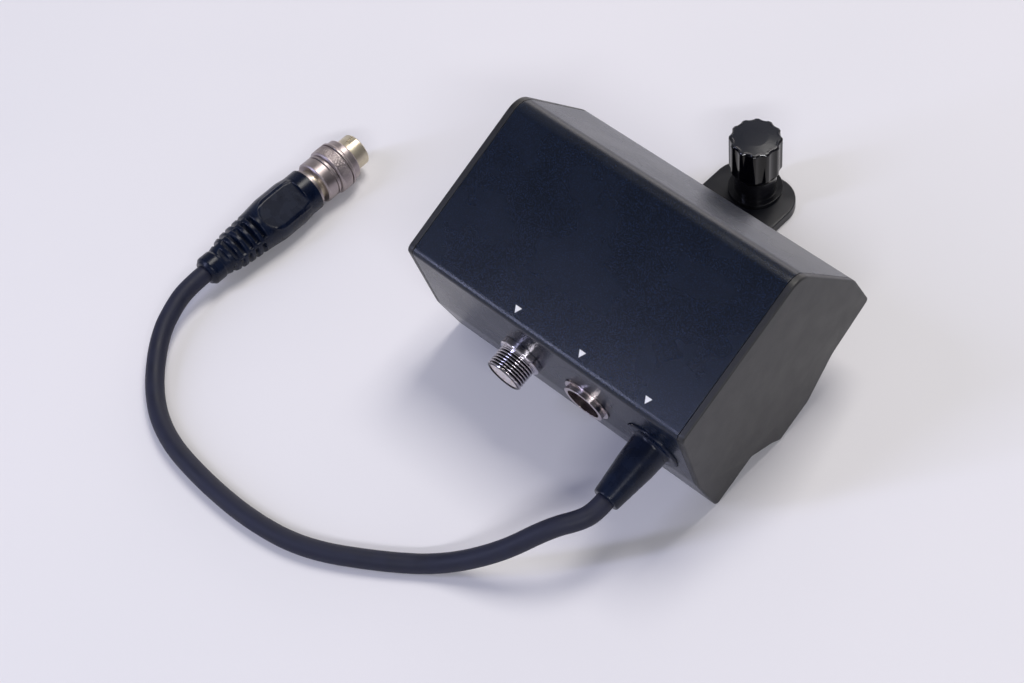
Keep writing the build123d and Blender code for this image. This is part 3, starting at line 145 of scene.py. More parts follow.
def mixInto(tree, shader, socket, share, value):
    # the shader's present feed on one socket gives way to a value where share is 1
    colour = socket == "Base Color"
    mix = addNode(tree, "Mix", data_type="RGBA" if colour else "FLOAT")
    first, second, result = (6, 7, 2) if colour else (2, 3, 0)      # that type's sockets
    tree.links.new(share, mix.inputs[0])
    tree.links.new(shader.inputs[socket].links[0].from_socket, mix.inputs[first])
    mix.inputs[second].default_value = value
    tree.links.new(mix.outputs[result], shader.inputs[socket])


finishes = {}

# Die-cast aluminium, texture powder coated: navy-black, with paler flecks where grains stand up
coverLook = {
    "dark": "030a17", "light": "050e1e", "fleck": "122038", "fleckBand": (0.51, 0.66),
    "cloudSize": 18.0, "grainSize": 0.3, "grainDepth": 0.03, "strength": 1.0,
    "rough": (0.24, 0.3), "edge": 0.4, "ior": 1.43,
}
coverPaint, tree, shader, place, grain = dressSurface(
    "aluminium, texture powder coated", coverLook)
fleck = addNode(tree, "ValToRGB", {"Fac": grain.outputs["Fac"]})
for stop, position in zip(fleck.color_ramp.elements, coverLook["fleckBand"]):
    stop.position = position
mixInto(tree, shader, "Base Color", fleck.outputs["Color"], hexColour(coverLook["fleck"]))
finishes["coverPaint"] = coverPaint

# Phenolic knob, compression moulded: gloss black sides, greyer satin on its crown
knobLook = {
    "dark": "020207", "light": "04040a", "cloudSize": 4.0, "grainSize": 0.22, "grainDepth": 0.01,
    "strength": 0.15, "rough": (0.07, 0.11), "edge": 0.05, "ior": 1.5,
    "crownStart": 24.81, "crownFull": 24.85, "crownColour": "1f2129", "crownRough": 0.24,
}
knobPlastic, tree, shader, place, grain = dressSurface("phenolic, moulded and polished", knobLook)
upKnob = addNode(tree, "SeparateXYZ", {"Vector": place}).outputs["Z"]
crown = addNode(tree, "MapRange", {
    "Value": upKnob, "From Min": knobLook["crownStart"] * mm,
    "From Max": knobLook["crownFull"] * mm}).outputs["Result"]
mixInto(tree, shader, "Base Color", crown, hexColour(knobLook["crownColour"]))
mixInto(tree, shader, "Roughness", crown, knobLook["crownRough"])
finishes["knobPlastic"] = knobPlastic

# Finishes that need no more than their look
plainFinishes = {
    # wet paint, sprayed thinly: dull blue-grey black without the cover's flecks
    "basePaint": ("aluminium, wet painted matte", {
        "dark": "16181f", "light": "1e2129", "cloudSize": 9.0, "grainSize": 0.5,
        "grainDepth": 0.03, "rough": (0.5, 0.6), "edge": 0.25}),
    # glass-filled ABS from a spark-eroded mould: near-black pits that shine grey at a low angle
    "capPlastic": ("ABS, moulded with a spark texture", {
        "dark": "0e0e11", "light": "161619", "cloudSize": 6.0, "grainSize": 0.3,
        "grainDepth": 0.05, "strength": 0.8, "rough": (0.4, 0.48), "edge": 0.35, "ior": 1.54}),
    # electrocoat: even satin black with a slightly blue-grey sheen
    "plateCoat": ("steel, electrocoated black", {
        "dark": "0f1019", "light": "16171f", "cloudSize": 5.0, "grainSize": 0.25,
        "grainDepth": 0.015, "rough": (0.28, 0.36), "edge": 0.35, "ior": 1.45}),
    # turned, then blackened: smooth black that shows a narrow arc of light
    "collarCoat": ("steel, turned and blackened", {
        "dark": "101014", "light": "18181d", "cloudSize": 3.0, "grainSize": 0.2,
        "grainDepth": 0.01, "rough": (0.14, 0.22), "edge": 0.3}),
    # heat-blackened: dark, with worn and brighter high spots
    "screwSteel": ("steel, blackened screw", {
        "dark": "1d1e22", "light": "3a3b40", "cloudSize": 1.2, "grainSize": 0.15,
        "grainDepth": 0.012, "rough": (0.28, 0.42), "metallic": 0.8}),
    # turned and left bare: clean grey metal
    "brightSteel": ("steel, turned bright", {
        "dark": "8d8e90", "light": "a9abad", "cloudSize": 2.0, "grainSize": 0.12,
        "grainDepth": 0.008, "rough": (0.18, 0.3), "metallic": 1.0}),
    # drawn wire: darker and smoother than turned steel
    "springSteel": ("steel, spring drawn", {
        "dark": "7d7e80", "light": "9b9c9e", "cloudSize": 1.0, "grainSize": 0.08,
        "grainDepth": 0.004, "rough": (0.2, 0.3), "metallic": 1.0}),
    # moulded from a plain mould: even satin black
    "insertPlastic": ("PBT, moulded black", {
        "dark": "151519", "light": "1f1f24", "cloudSize": 1.5, "grainSize": 0.15,
        "grainDepth": 0.01, "rough": (0.35, 0.45)}),
    # the same, unpigmented: warm off-white
    "paleInsert": ("PPS, moulded pale", {
        "dark": "cdc4c4", "light": "ded6d4", "cloudSize": 1.5, "grainSize": 0.15,
        "grainDepth": 0.01, "rough": (0.35, 0.45)}),
    # gold over brass: deep yellow with a soft shine
    "contactGold": ("brass, gold plated", {
        "dark": "b98f43", "light": "d9b566", "cloudSize": 0.6, "grainSize": 0.08,
        "grainDepth": 0.004, "rough": (0.16, 0.26), "metallic": 1.0}),
    # moulded boots: navy-black, smooth satin
    "bootRubber": ("PVC, moulded boot", {
        "dark": "050c1e", "light": "09142a", "cloudSize": 3.5, "grainSize": 0.2,
        "grainDepth": 0.012, "rough": (0.24, 0.3), "edge": 0.2, "ior": 1.32}),
    # extruded jacket: blue charcoal, drier than the boots
    "cableRubber": ("PVC, extruded jacket", {
        "dark": "131629", "light": "1b1e33", "cloudSize": 5.0, "grainSize": 0.35,
        "grainDepth": 0.02, "rough": (0.5, 0.64), "ior": 1.42}),
    # teeth cut by a hob: warm yellow metal
    "gearBrass": ("brass, hobbed", {
        "dark": "a07c3a", "light": "c19b54", "cloudSize": 2.5, "grainSize": 0.12,
        "grainDepth": 0.008, "rough": (0.22, 0.34), "metallic": 1.0}),
    # hobbed and oiled: dark grey metal
    "gearSteel": ("steel, hobbed and oiled", {
        "dark": "55565a", "light": "77787c", "cloudSize": 2.0, "grainSize": 0.12,
        "grainDepth": 0.01, "rough": (0.24, 0.38), "metallic": 1.0}),
    # milled and left bare: pale, slightly dull metal
    "frameAluminium": ("aluminium, milled", {
        "dark": "9fa0a2", "light": "b9babc", "cloudSize": 6.0, "grainSize": 0.2,
        "grainDepth": 0.01, "rough": (0.3, 0.42), "metallic": 1.0}),
    # drawn can, zinc plated: mid grey with a faint warm cast
    "motorCan": ("steel, drawn and zinc plated", {
        "dark": "8c8d8c", "light": "a8a9a6", "cloudSize": 5.0, "grainSize": 0.3,
        "grainDepth": 0.01, "rough": (0.26, 0.4), "metallic": 1.0}),
    # moulded: dry charcoal
    "encoderNylon": ("nylon, moulded", {
        "dark": "23262b", "light": "2f3238", "cloudSize": 2.5, "grainSize": 0.2,
        "grainDepth": 0.012, "rough": (0.42, 0.55)}),
    # turned from bar: brighter yellow than the gears
    "standoffBrass": ("brass, turned standoff", {
        "dark": "a98a4b", "light": "c6a868", "cloudSize": 1.5, "grainSize": 0.1,
        "grainDepth": 0.006, "rough": (0.2, 0.32), "metallic": 1.0}),
    # lacquered over laminate: glossy deep green
    "boardLaminate": ("glass epoxy, solder masked green", {
        "dark": "12462f", "light": "1a5a3c", "cloudSize": 4.0, "grainSize": 0.4,
        "grainDepth": 0.01, "rough": (0.24, 0.34)}),
    # transfer moulded: matte black
    "chipEpoxy": ("epoxy, moulded chip", {
        "dark": "1a1a1c", "light": "252528", "cloudSize": 1.0, "grainSize": 0.12,
        "grainDepth": 0.01, "rough": (0.42, 0.55)}),
    # screen printed: flat white
    "markPaint": ("epoxy ink, screen printed white", {
        "dark": "d9d9dd", "light": "ebebee", "cloudSize": 0.8, "grainSize": 0.15,
        "grainDepth": 0.008, "rough": (0.5, 0.6)}),
}
for finish, (name, look) in plainFinishes.items():
    finishes[finish] = dressSurface(name, look)[0]


def dressTurned(name, look):
    # a turned and plated metal: fine rings across the axis are added to the grain's relief
    material, tree, shader, place, grain = dressSurface(name, look)
    alongAxis = addNode(tree, "VectorMath", {0: place}, operation="DOT_PRODUCT")
    alongAxis.inputs[1].default_value = Vector(look["axis"]).normalized()
    rings = addNode(tree, "TexNoise", {
        "W": alongAxis.outputs["Value"], "Scale": 1 / (look["ringSize"] * mm),
        "Detail": look["ringDetail"]}, noise_dimensions="1D")
    both = addNode(tree, "Math", {0: rings.outputs["Fac"], 1: grain.outputs["Fac"]},
                   operation="ADD")
    relief = shader.inputs["Normal"].links[0].from_node
    tree.links.new(both.outputs["Value"], relief.inputs["Height"])
    return material, tree, shader, place


portAxis = mounts["demand_barrel"]["axis"]
plugAxis = mounts["plug_barrel"]["axis"]
# Brass, turned and satin nickel plated: warm grey metal, turning rings just visible
nickelLook = {
    "dark": "9a9092", "light": "b2a8a7", "cloudSize": 3.0, "grainSize": 0.3, "grainDepth": 0.003,
    "strength": 0.5, "rough": (0.36, 0.44), "metallic": 1.0, "ringSize": 0.16,
    "ringDetail": 3.0, "axis": plugAxis,
}
finishes["plugNickel"] = dressTurned("brass, turned and nickel plated, plug", nickelLook)[0]
# the same nickel in a paler, warmer colour
finishes["barrelNickel"] = dressTurned("brass, turned and thinly nickel plated", {
    **nickelLook, "dark": "bfb5a2", "light": "dad0ba"})[0]
# a bright plate: paler, with sharper reflections
finishes["portNickel"] = dressTurned("brass, turned and nickel plated, port", {
    **nickelLook, "dark": "bdb1b3", "light": "ddd1d0", "rough": (0.16, 0.22), "axis": portAxis})[0]

# Brass, black chromium plated: a pale plate with painted shade in the valleys of its thread and in
# its bore, and the pale crests left as a painted highlight
chromeLook = {
    "dark": "b5b0b6", "light": "d6d1d8", "cloudSize": 2.0, "grainSize": 0.2, "grainDepth": 0.002,
    "strength": 0.4, "rough": (0.1, 0.15), "metallic": 1.0, "edge": 0.06, "ringSize": 0.15,
    "ringDetail": 3.0, "axis": portAxis,
    "valleyShade": "37353a", "valleyRadius": 5.15, "crestRadius": 5.42,
}
blackChrome, tree, shader, place = dressTurned(
    "brass, turned and black chromium plated", chromeLook)
fromAxis = addNode(tree, "VectorMath", {0: place}, operation="SUBTRACT")
fromAxis.inputs[1].default_value = mounts["demand_barrel"]["pos_m"]
offAxis = addNode(tree, "VectorMath", {0: fromAxis.outputs["Vector"]}, operation="CROSS_PRODUCT")
offAxis.inputs[1].default_value = portAxis
outward = addNode(tree, "VectorMath", {0: offAxis.outputs["Vector"]}, operation="LENGTH")
# painted shade: the valley colour fills the bore and the thread's valleys and fades out towards the
# crests, which keep the pale plate as a painted highlight
threadValleyShade = addNode(tree, "MapRange", {
    "Value": outward.outputs["Value"], "From Min": chromeLook["valleyRadius"] * mm,
    "From Max": chromeLook["crestRadius"] * mm, "To Min": 1.0, "To Max": 0.0})
mixInto(tree, shader, "Base Color", threadValleyShade.outputs["Result"], hexColour(chromeLook["valleyShade"]))
finishes["blackChrome"] = blackChrome
print("materials made:", len(finishes))

# Each CAD node's finish
nodeFinish = {
    "coverPaint": ["top_cover"],
    "basePaint": ["base"],
    "capPlastic": ["left_end_cap", "right_end_cap"],
    "plateCoat": ["mounting_plate"],
    "collarCoat": ["screw_collar"],
    "screwSteel": ["cover_screws", "end_cap_screws", "plate_screws", "pillar_screws",
                   "motor_screws", "frame_screws", "board_screws"],
    "brightSteel": ["clamp_stud", "spring_washer", "output_shaft", "idler_shaft",
                    "encoder_shaft", "motor_shaft", "gland_clip", "encoder_nut"],
    "springSteel": ["return_spring"],
    "knobPlastic": ["thumb_knob"],
    "blackChrome": ["demand_socket_shell"],
    "portNickel": ["aux_socket_shell", "demand_socket_nut", "aux_socket_nut"],
    "plugNickel": ["plug_collar", "coupling_sleeve", "sleeve_rear_ring"],
    "barrelNickel": ["plug_barrel"],
    "insertPlastic": ["aux_socket_insert", "plug_insert"],
    "paleInsert": ["demand_socket_insert"],
    "contactGold": ["demand_socket_contacts", "aux_socket_contacts", "plug_pins"],
    "bootRubber": ["cable_gland", "plug_boot"],
    "cableRubber": ["lens_cable"],
    "gearBrass": ["idler_gear", "motor_pinion", "encoder_gear"],
    "gearSteel": ["output_gear"],
    "frameAluminium": ["left_frame_plate", "right_frame_plate", "frame_pillars"],
    "motorCan": ["motor", "motor_gearhead"],
    "encoderNylon": ["encoder"],
    "standoffBrass": ["board_standoffs"],
    "boardLaminate": ["circuit_board"],
    "chipEpoxy": ["board_components"],
}

# Smoothing for the CAD nodes: their loose triangles are joined and shaded smooth up to an angle
smoothing = {"joinDistance": 2e-6, "sharpAngle": 0.55}
smoothGroup = bpy.data.node_groups.new("smoothing", "GeometryNodeTree")
for side in ("INPUT", "OUTPUT"):
    smoothGroup.interface.new_socket("Geometry", in_out=side, socket_type="NodeSocketGeometry")
groupIn = smoothGroup.nodes.new("NodeGroupInput")
groupOut = smoothGroup.nodes.new("NodeGroupOutput")
joined = smoothGroup.nodes.new("GeometryNodeMergeByDistance")
joined.inputs["Distance"].default_value = smoothing["joinDistance"]
facesSmooth = smoothGroup.nodes.new("GeometryNodeSetShadeSmooth")
facesSmooth.domain = "FACE"
edgesSharp = smoothGroup.nodes.new("GeometryNodeSetShadeSmooth")
edgesSharp.domain = "EDGE"
edgesSharp.inputs["Shade Smooth"].default_value = False
edgeAngles = smoothGroup.nodes.new("GeometryNodeInputMeshEdgeAngle")
steep = smoothGroup.nodes.new("FunctionNodeCompare")
steep.data_type = "FLOAT"
steep.operation = "GREATER_THAN"
steep.inputs[1].default_value = smoothing["sharpAngle"]
for giving, taking in (
    (groupIn.outputs[0], joined.inputs["Geometry"]),
    (joined.outputs[0], facesSmooth.inputs["Geometry"]),
    (facesSmooth.outputs[0], edgesSharp.inputs["Geometry"]),
    (edgeAngles.outputs["Unsigned Angle"], steep.inputs[0]),
    (steep.outputs[0], edgesSharp.inputs["Selection"]),
    (edgesSharp.outputs[0], groupOut.inputs[0]),
):
    smoothGroup.links.new(giving, taking)
for finish, names in nodeFinish.items():
    for name in names:
        node = frame["nodes"][name]
        node.data.materials.clear()
        node.data.materials.append(finishes[finish])
        smooth = node.modifiers.new("smoothing", "NODES")
        smooth.node_group = smoothGroup
print("CAD nodes dressed")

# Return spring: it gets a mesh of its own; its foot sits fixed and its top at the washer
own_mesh(frame["nodes"]["return_spring"])
print("spring set")

# Surfaces: lengths are millimetres until placed() turns them into metres
meshFacts = {"cornerShare": 0.45, "leastLength": 1e-9, "samePoint": 1e-7, "weld": 2e-7}


def softened(corners, radius, steps=5, closed=False):
    # each corner becomes a small curve: a quadratic blend between points on its two sides
    corners = np.array(corners, float)
    sides = [np.roll(corners, 1, 0) - corners, np.roll(corners, -1, 0) - corners]
    isEnd = np.isin(np.arange(len(corners)), (0, len(corners) - 1))[:, None]
    ends = []
    for side in sides:
        length = np.linalg.norm(side, axis=1, keepdims=True)
        reach = np.minimum(radius, meshFacts["cornerShare"] * length)
        share = reach / np.maximum(length, meshFacts["leastLength"])
        ends.append(corners + side * (share if closed else np.where(isEnd, 0, share)))
    t = np.linspace(0, 1, steps)[None, :, None]
    curve = ((1 - t) ** 2 * ends[0][:, None] + 2 * t * (1 - t) * corners[:, None]
             + t ** 2 * ends[1][:, None])
    line = curve.reshape(-1, 2)
    distinct = np.ones(len(line), bool)
    distinct[1:] = np.linalg.norm(np.diff(line, axis=0), axis=1) > meshFacts["samePoint"]
    return line[distinct]


def eased(t):
    # a smooth step from 0 to 1: 3 t squared less 2 t cubed
    return t ** 2 * (3 - 2 * t)


def gridMesh(name, points, closed=False):
    # points is rows by columns by xyz; columns wrap round, and rows do too where closed
    rows, columns = points.shape[:2]
    index = np.arange(rows * columns).reshape(rows, columns)
    if closed:
        index = np.vstack([index, index[:1]])
    right = np.roll(index, -1, 1)
    faces = np.stack([index[:-1], right[:-1], right[1:], index[1:]], -1).reshape(-1, 4)
    mesh = bpy.data.meshes.new(name)
    mesh.from_pydata(points.reshape(-1, 3), [], faces)
    shell = bmesh.new()
    shell.from_mesh(mesh)
    bmesh.ops.remove_doubles(shell, verts=shell.verts, dist=meshFacts["weld"])
    bmesh.ops.recalc_face_normals(shell, faces=shell.faces)
    shell.to_mesh(mesh)
    shell.free()
    mesh.polygons.foreach_set("use_smooth", np.ones(len(mesh.polygons), bool))
    return addObject(name, mesh)


def placed(place, radius, angle, along):
    # cylinder coordinates: origin + r cos(a) side + r sin(a) up + s axis
    origin, side, up, axis = (np.array(part, float) for part in place)
    radius, angle, along = np.broadcast_arrays(radius, angle, along)
    across = (radius * np.cos(angle))[..., None] * side + (radius * np.sin(angle))[..., None] * up
    return (origin + across + along[..., None] * axis) * mm


def fullTurn(columns):
    return np.linspace(0, 2 * np.pi, columns, endpoint=False)[None, :]


def standFor(piece, finish, body, *nodes):
    piece.data.materials.append(finishes[finish])
    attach(piece, body)
    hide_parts(*nodes)


portFacts = {"mountReach": 5.0}             # from the front face out to the socket's mount
plugFacts = {"barrelReach": 57.3}           # from the cable's end to the barrel's mount


def portPlace(name):
    # a port's own place: its node's middle sideways, on the front face in line with the mount
    axis = Vector(portAxis)
    low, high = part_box(name)
    origin = Vector(mounts["demand_barrel"]["pos_m"]) / mm - axis * portFacts["mountReach"]
    origin.x = (low.x + high.x) / 2 / mm
    return origin, Vector((1, 0, 0)), Vector((0, axis.z, -axis.y)), axis


plugPlace = (Vector(mounts["plug_barrel"]["pos_m"]) / mm - Vector((0, plugFacts["barrelReach"], 0)),
             Vector((0, 0, 1)), Vector((1, 0, 0)), Vector(plugAxis))

# Lens cable: one smooth line through the route of its tube
cableFacts = {
    "route": [(44.4, -98.0, 19.4), (39.4, -104.6, 18.5), (31.1, -114.9, 10.7),
              (18.3, -124.3, 2.7), (5.5, -133.8, 2.7), (-11.7, -143.7, 2.7),
              (-28.5, -146.9, 2.7), (-47.5, -146.7, 2.7), (-65.6, -144.2, 2.7),
              (-79.6, -136.8, 2.7), (-91.5, -123.5, 4.9), (-95.6, -112.7, 6.6)],
    "mouth": 18.6, "lead": 3.2, "tail": 5.0, "diameter": 5.3, "length": 195.0,
    "order": 3, "stepsAlong": 14, "stepsRound": 10,
}
glandPlace = portPlace("cable_gland")
mouth = glandPlace[0] + glandPlace[3] * cableFacts["mouth"]
route = [mouth, mouth + glandPlace[3] * cableFacts["lead"],
         *[Vector(point) for point in cableFacts["route"]],
         plugPlace[0] - plugPlace[3] * cableFacts["tail"], plugPlace[0]]
cableLine = bpy.data.curves.new("lensCable", "CURVE")
cableLine.dimensions = "3D"
spline = cableLine.splines.new("NURBS")
spline.points.add(len(route) - 1)
for point, corner in zip(spline.points, route):
    point.co = (*(corner * mm), 1)
spline.order_u = cableFacts["order"]
spline.use_endpoint_u = True
spline.resolution_u = cableFacts["stepsAlong"]
cableLine.bevel_depth = cableFacts["diameter"] / 2 * mm
cableLine.bevel_resolution = cableFacts["stepsRound"]
cableLine.use_fill_caps = True
lensCable = addObject("lensCable", cableLine)
standFor(lensCable, "cableRubber", "housing", "lens_cable")
print("cable laid")

# Plug's boot: a profile with staggered slots, flat pads and a thin raised line round each pad
bootLook = {
    "profile": [(0, 3.55), (0.3, 3.85), (0.9, 4.4), (4.3, 4.4), (4.6, 4.1), (9.6, 5.6),
                (19.9, 6.4), (25.2, 7.05), (33.0, 7.05), (35.9, 6.6), (39.7, 6.6)],
    "samples": 1600, "blur": 25,
    "slotStart": 4.6, "slotEnd": 19.9, "slotCount": 6, "slotWidth": 1.28, "slotFloor": 3.9,
    "slotSoft": 0.22,
    "padStart": 20.8, "padEnd": 35.5, "padHeight": 5.45, "padHalf": 5.2, "padSoft": 0.3,
    "padFacing": 0.2,
    "ridgeHeight": 0.14, "ridgeWidth": 0.22, "ridgeFacing": 0.45, "ridgeEnd": 35.3,
    "ridgeLowest": 4.25,
    "pocketRadius": 4.92, "pocketFloor": 34.0, "rows": 300, "columns": 192, "roll": 28.0,
}


def bootProfile(s):
    # radius along the boot: straight lines between the stations, blurred over a short width
    look = bootLook
    stations, radii = np.array(look["profile"]).T
    fine = np.linspace(0, stations[-1], look["samples"])
    window = np.ones(look["blur"]) / look["blur"]
    padded = np.pad(np.interp(fine, stations, radii), look["blur"] // 2, "edge")
    return np.interp(s, fine, np.convolve(padded, window, "valid"))


def bootRadius(s, angle):
    # radius = profile, cut down to a flat floor in the slots and to a flat plane in the pads
    look = bootLook
    radius = bootProfile(s) + 0 * angle
    pitch = (look["slotEnd"] - look["slotStart"]) / look["slotCount"]
    quarter = np.pi / 2
    fromTop = np.abs((angle + quarter) % np.pi - quarter)            # 0 on top and underside
    inTop = fromTop < quarter / 2
    fromMiddle = np.where(inTop, fromTop, quarter - fromTop)
    step = (s - look["slotStart"]) / pitch - np.where(inTop, 0.5, 1.0)
    lastStep = np.where(inTop, look["slotCount"] - 1, look["slotCount"] - 2)
    away = np.abs(step - np.clip(np.round(step), 0, lastStep)) * pitch
    inSlot = eased(np.clip((look["slotWidth"] / 2 - away) / look["slotSoft"] + 0.5, 0, 1))
    floorReach = look["slotFloor"] - radius * np.sin(fromMiddle)
    inSlot = inSlot * np.clip(floorReach / look["slotSoft"] + 0.5, 0, 1)
    slotFloor = np.minimum(radius, look["slotFloor"] / np.cos(fromMiddle))
    radius = radius + (slotFloor - radius) * inSlot
    height, across = np.abs(radius * np.cos(angle)), np.abs(radius * np.sin(angle))
    middle = look["padStart"] + look["padHalf"]
    roundEnd = np.hypot(across, s - middle) - look["padHalf"]
    squareEnd = np.maximum(across - look["padHalf"], s - look["padEnd"])
    outside = np.where(s < middle, roundEnd, squareEnd)              # distance out from the pad
    inPad = eased(np.clip(0.5 - outside / look["padSoft"], 0, 1))
    facing = np.abs(np.cos(angle))
    plane = np.minimum(radius, look["padHeight"] / np.maximum(facing, look["padFacing"]))
    radius = radius + (plane - radius) * inPad
    ridge = look["ridgeHeight"] * np.exp(-(outside / look["ridgeWidth"]) ** 2)
    hasRidge = (facing > look["ridgeFacing"]) & (s < look["ridgeEnd"])
    return radius + ridge * hasRidge * (height > look["ridgeLowest"])


bootEnd = bootLook["profile"][-1][0]
stations = np.linspace(0, bootEnd, bootLook["rows"])[:, None]
angles = fullTurn(bootLook["columns"])
rolled = angles + np.radians(bootLook["roll"])
bootGrid = np.vstack([
    placed(plugPlace, 0, rolled, 0),
    placed(plugPlace, bootRadius(stations, angles), rolled, stations),
    placed(plugPlace, bootLook["pocketRadius"], rolled, bootEnd),
    placed(plugPlace, bootLook["pocketRadius"], rolled, bootLook["pocketFloor"]),
    placed(plugPlace, 0, rolled, bootLook["pocketFloor"]),
])
plugBoot = gridMesh("plugBoot", bootGrid)
standFor(plugBoot, "bootRubber", "housing", "plug_boot")
print("plug boot made")

# Plug's sleeve: turned rings with broken edges, and a diamond knurl on the widest one
# The knurl is drawn coarser than the real one, which is too fine to show
sleeveLook = {
    "profile": [(5.66, 45.8), (6.1, 45.8), (6.1, 46.25), (6.6, 46.25), (6.6, 46.9), (6.1, 46.9),
                (6.1, 47.35), (6.6, 47.5), (7.15, 47.9), (7.15, 51.2), (6.5, 51.2), (6.5, 51.65),
                (7.15, 51.65), (7.15, 52.4), (6.5, 52.8), (6.5, 54.6), (6.1, 55.0), (4.76, 55.0),
                (4.76, 50.9), (5.66, 50.9)],
    "softness": 0.12, "columns": 552, "bandRadius": 7.15, "bandSlack": 0.05, "bandRows": 34,
    "knurlStart": 48.2, "knurlEnd": 50.9, "knurlDepth": 0.1, "knurlCount": 46,
    "knurlLean": 0.6, "knurlFade": 0.15,
}
sleeveLine = softened(sleeveLook["profile"], sleeveLook["softness"], closed=True)
band = np.linspace(sleeveLook["knurlStart"], sleeveLook["knurlEnd"], sleeveLook["bandRows"])
bandLine = np.column_stack([np.full(len(band), sleeveLook["bandRadius"]), band])
wideFrom = sleeveLook["bandRadius"] - sleeveLook["bandSlack"]
isWide = sleeveLine[:, 0] > wideFrom
bandPlace = int(np.argmax(isWide & (sleeveLine[:, 1] >= sleeveLook["knurlStart"])))
sleeveLine = np.vstack([sleeveLine[:bandPlace], bandLine, sleeveLine[bandPlace:]])
ringRadii, ringPlaces = sleeveLine[:, :1], sleeveLine[:, 1:]
sleeveAngles = fullTurn(sleeveLook["columns"])
# knurl: the radius drops along two crossing sets of helical grooves, as deep as the nearer one
intoKnurl = ringPlaces - sleeveLook["knurlStart"]
knurlLeft = sleeveLook["knurlEnd"] - ringPlaces
phase = sleeveLook["knurlCount"] * sleeveAngles
twist = intoKnurl * sleeveLook["knurlCount"] / sleeveLook["bandRadius"] * sleeveLook["knurlLean"]
grooves = np.maximum(np.cos(phase + twist), np.cos(phase - twist)) ** 2
knurlShare = np.clip(np.minimum(intoKnurl, knurlLeft) / sleeveLook["knurlFade"], 0, 1)
knurlShare = knurlShare * (ringRadii > wideFrom)
sleeveRadii = ringRadii - sleeveLook["knurlDepth"] * grooves * knurlShare
plugSleeve = gridMesh(
    "plugSleeve", placed(plugPlace, sleeveRadii, sleeveAngles, ringPlaces), closed=True)
standFor(plugSleeve, "plugNickel", "plug_sleeve", "coupling_sleeve")

# Demand socket: a foot with two steps and a thread cut up to the shell's full width
# The thread's pitch is coarser than the real one, which is too fine to show
threadLook = {
    "foot": [(4.6, -9.0), (5.0, -9.0), (5.0, 0.0), (6.35, 0.0), (6.35, 1.7), (6.0, 2.1),
             (5.5, 2.1), (5.5, 2.3)],
    "nose": [(5.5, 7.9), (5.1, 8.3), (4.6, 8.3), (4.6, -9.0)],
    "softness": 0.1, "softSteps": 4, "radius": 5.5, "depth": 0.42, "pitch": 0.85,
    "start": 2.35, "end": 7.85, "step": 0.055, "fade": 0.35, "sharpness": 1.6, "segments": 128,
}


def threadRadius(s, angle):
    # radius = full width less a rounded groove that climbs one pitch each turn, faded at both ends
    look = threadLook
    turnPart = (s / look["pitch"] - angle / (2 * np.pi)) % 1
    groove = (0.5 - 0.5 * np.cos(2 * np.pi * turnPart)) ** look["sharpness"]
    fadeIn = np.clip((s - look["start"]) / look["fade"], 0, 1)
    fadeOut = np.clip((look["end"] - s) / look["fade"], 0, 1)
    return look["radius"] - look["depth"] * groove * fadeIn * fadeOut


foot, nose = (softened(threadLook[part], threadLook["softness"], threadLook["softSteps"])
              for part in ("foot", "nose"))
thread = np.arange(threadLook["start"], threadLook["end"], threadLook["step"])
threadLine = np.column_stack([np.full(len(thread), threadLook["radius"]), thread])
socketLine = np.vstack([foot, threadLine, nose])
socketPlaces = socketLine[:, 1:]
socketAngles = fullTurn(threadLook["segments"])
isThread = np.zeros((len(socketLine), 1), bool)
isThread[len(foot):len(foot) + len(thread)] = True
socketRadii = np.where(isThread, threadRadius(socketPlaces, socketAngles), socketLine[:, :1])
demandSocket = gridMesh("demandSocket", placed(
    portPlace("demand_socket_shell"), socketRadii, socketAngles, socketPlaces), closed=True)
standFor(demandSocket, "blackChrome", "housing", "demand_socket_shell")
print("connectors made")

# Cable gland: the flange and its boot, nearly straight for a third of its reach and then tapered
glandLook = {
    "profile": [(0, -5.0), (6.4, -5.0), (6.4, -0.9), (8.0, -0.9), (8.0, 0.4), (7.7, 0.7),
                (6.0, 0.7), (5.4, 1.3), (5.12, 6.6), (3.8, 18.3), (3.5, 18.6), (0, 18.6)],
    "softness": 0.5, "columns": 144,
}
glandLine = softened(glandLook["profile"], glandLook["softness"])
cableGland = gridMesh("cableGland", placed(
    glandPlace, glandLine[:, :1], fullTurn(glandLook["columns"]), glandLine[:, 1:]))
standFor(cableGland, "bootRubber", "housing", "cable_gland")
print("gland made")

# Thumb knob: a turned body cut by twelve round flutes
knobShape = {
    "profile": [(0, 25.3), (3.5, 25.18), (6.2, 24.92), (6.95, 24.85), (7.45, 24.4), (7.45, 13.5),
                (6.55, 11.7), (6.16, 11.7), (6.16, 18.3), (0, 18.3)],
    "softness": 0.16, "softSteps": 6, "radius": 7.45, "crownRadius": 6.3, "bodyStart": 14,
    "flutes": 12, "cutter": 3.0, "cutterAt": 9.95, "blend": 0.06, "fluteTurn": 21.0,
    "uncut": 99, "acrossFlute": 13, "besideFlute": [0.012, 0.03, 0.06],
    "crownSlope": 0.095, "crownStart": 24.3, "crownDepth": 0.5,
}


def fluteRadius(angle):
    # distance out to the near side of the round cutter that stands at the middle of each flute
    look = knobShape
    spacing = 2 * np.pi / look["flutes"]
    fromMiddle = (angle + spacing / 2) % spacing - spacing / 2
    inside = look["cutter"] ** 2 - (look["cutterAt"] * np.sin(fromMiddle)) ** 2
    nearSide = look["cutterAt"] * np.cos(fromMiddle) - np.sqrt(np.maximum(inside, 0))
    return np.where(inside > 0, nearSide, look["uncut"])


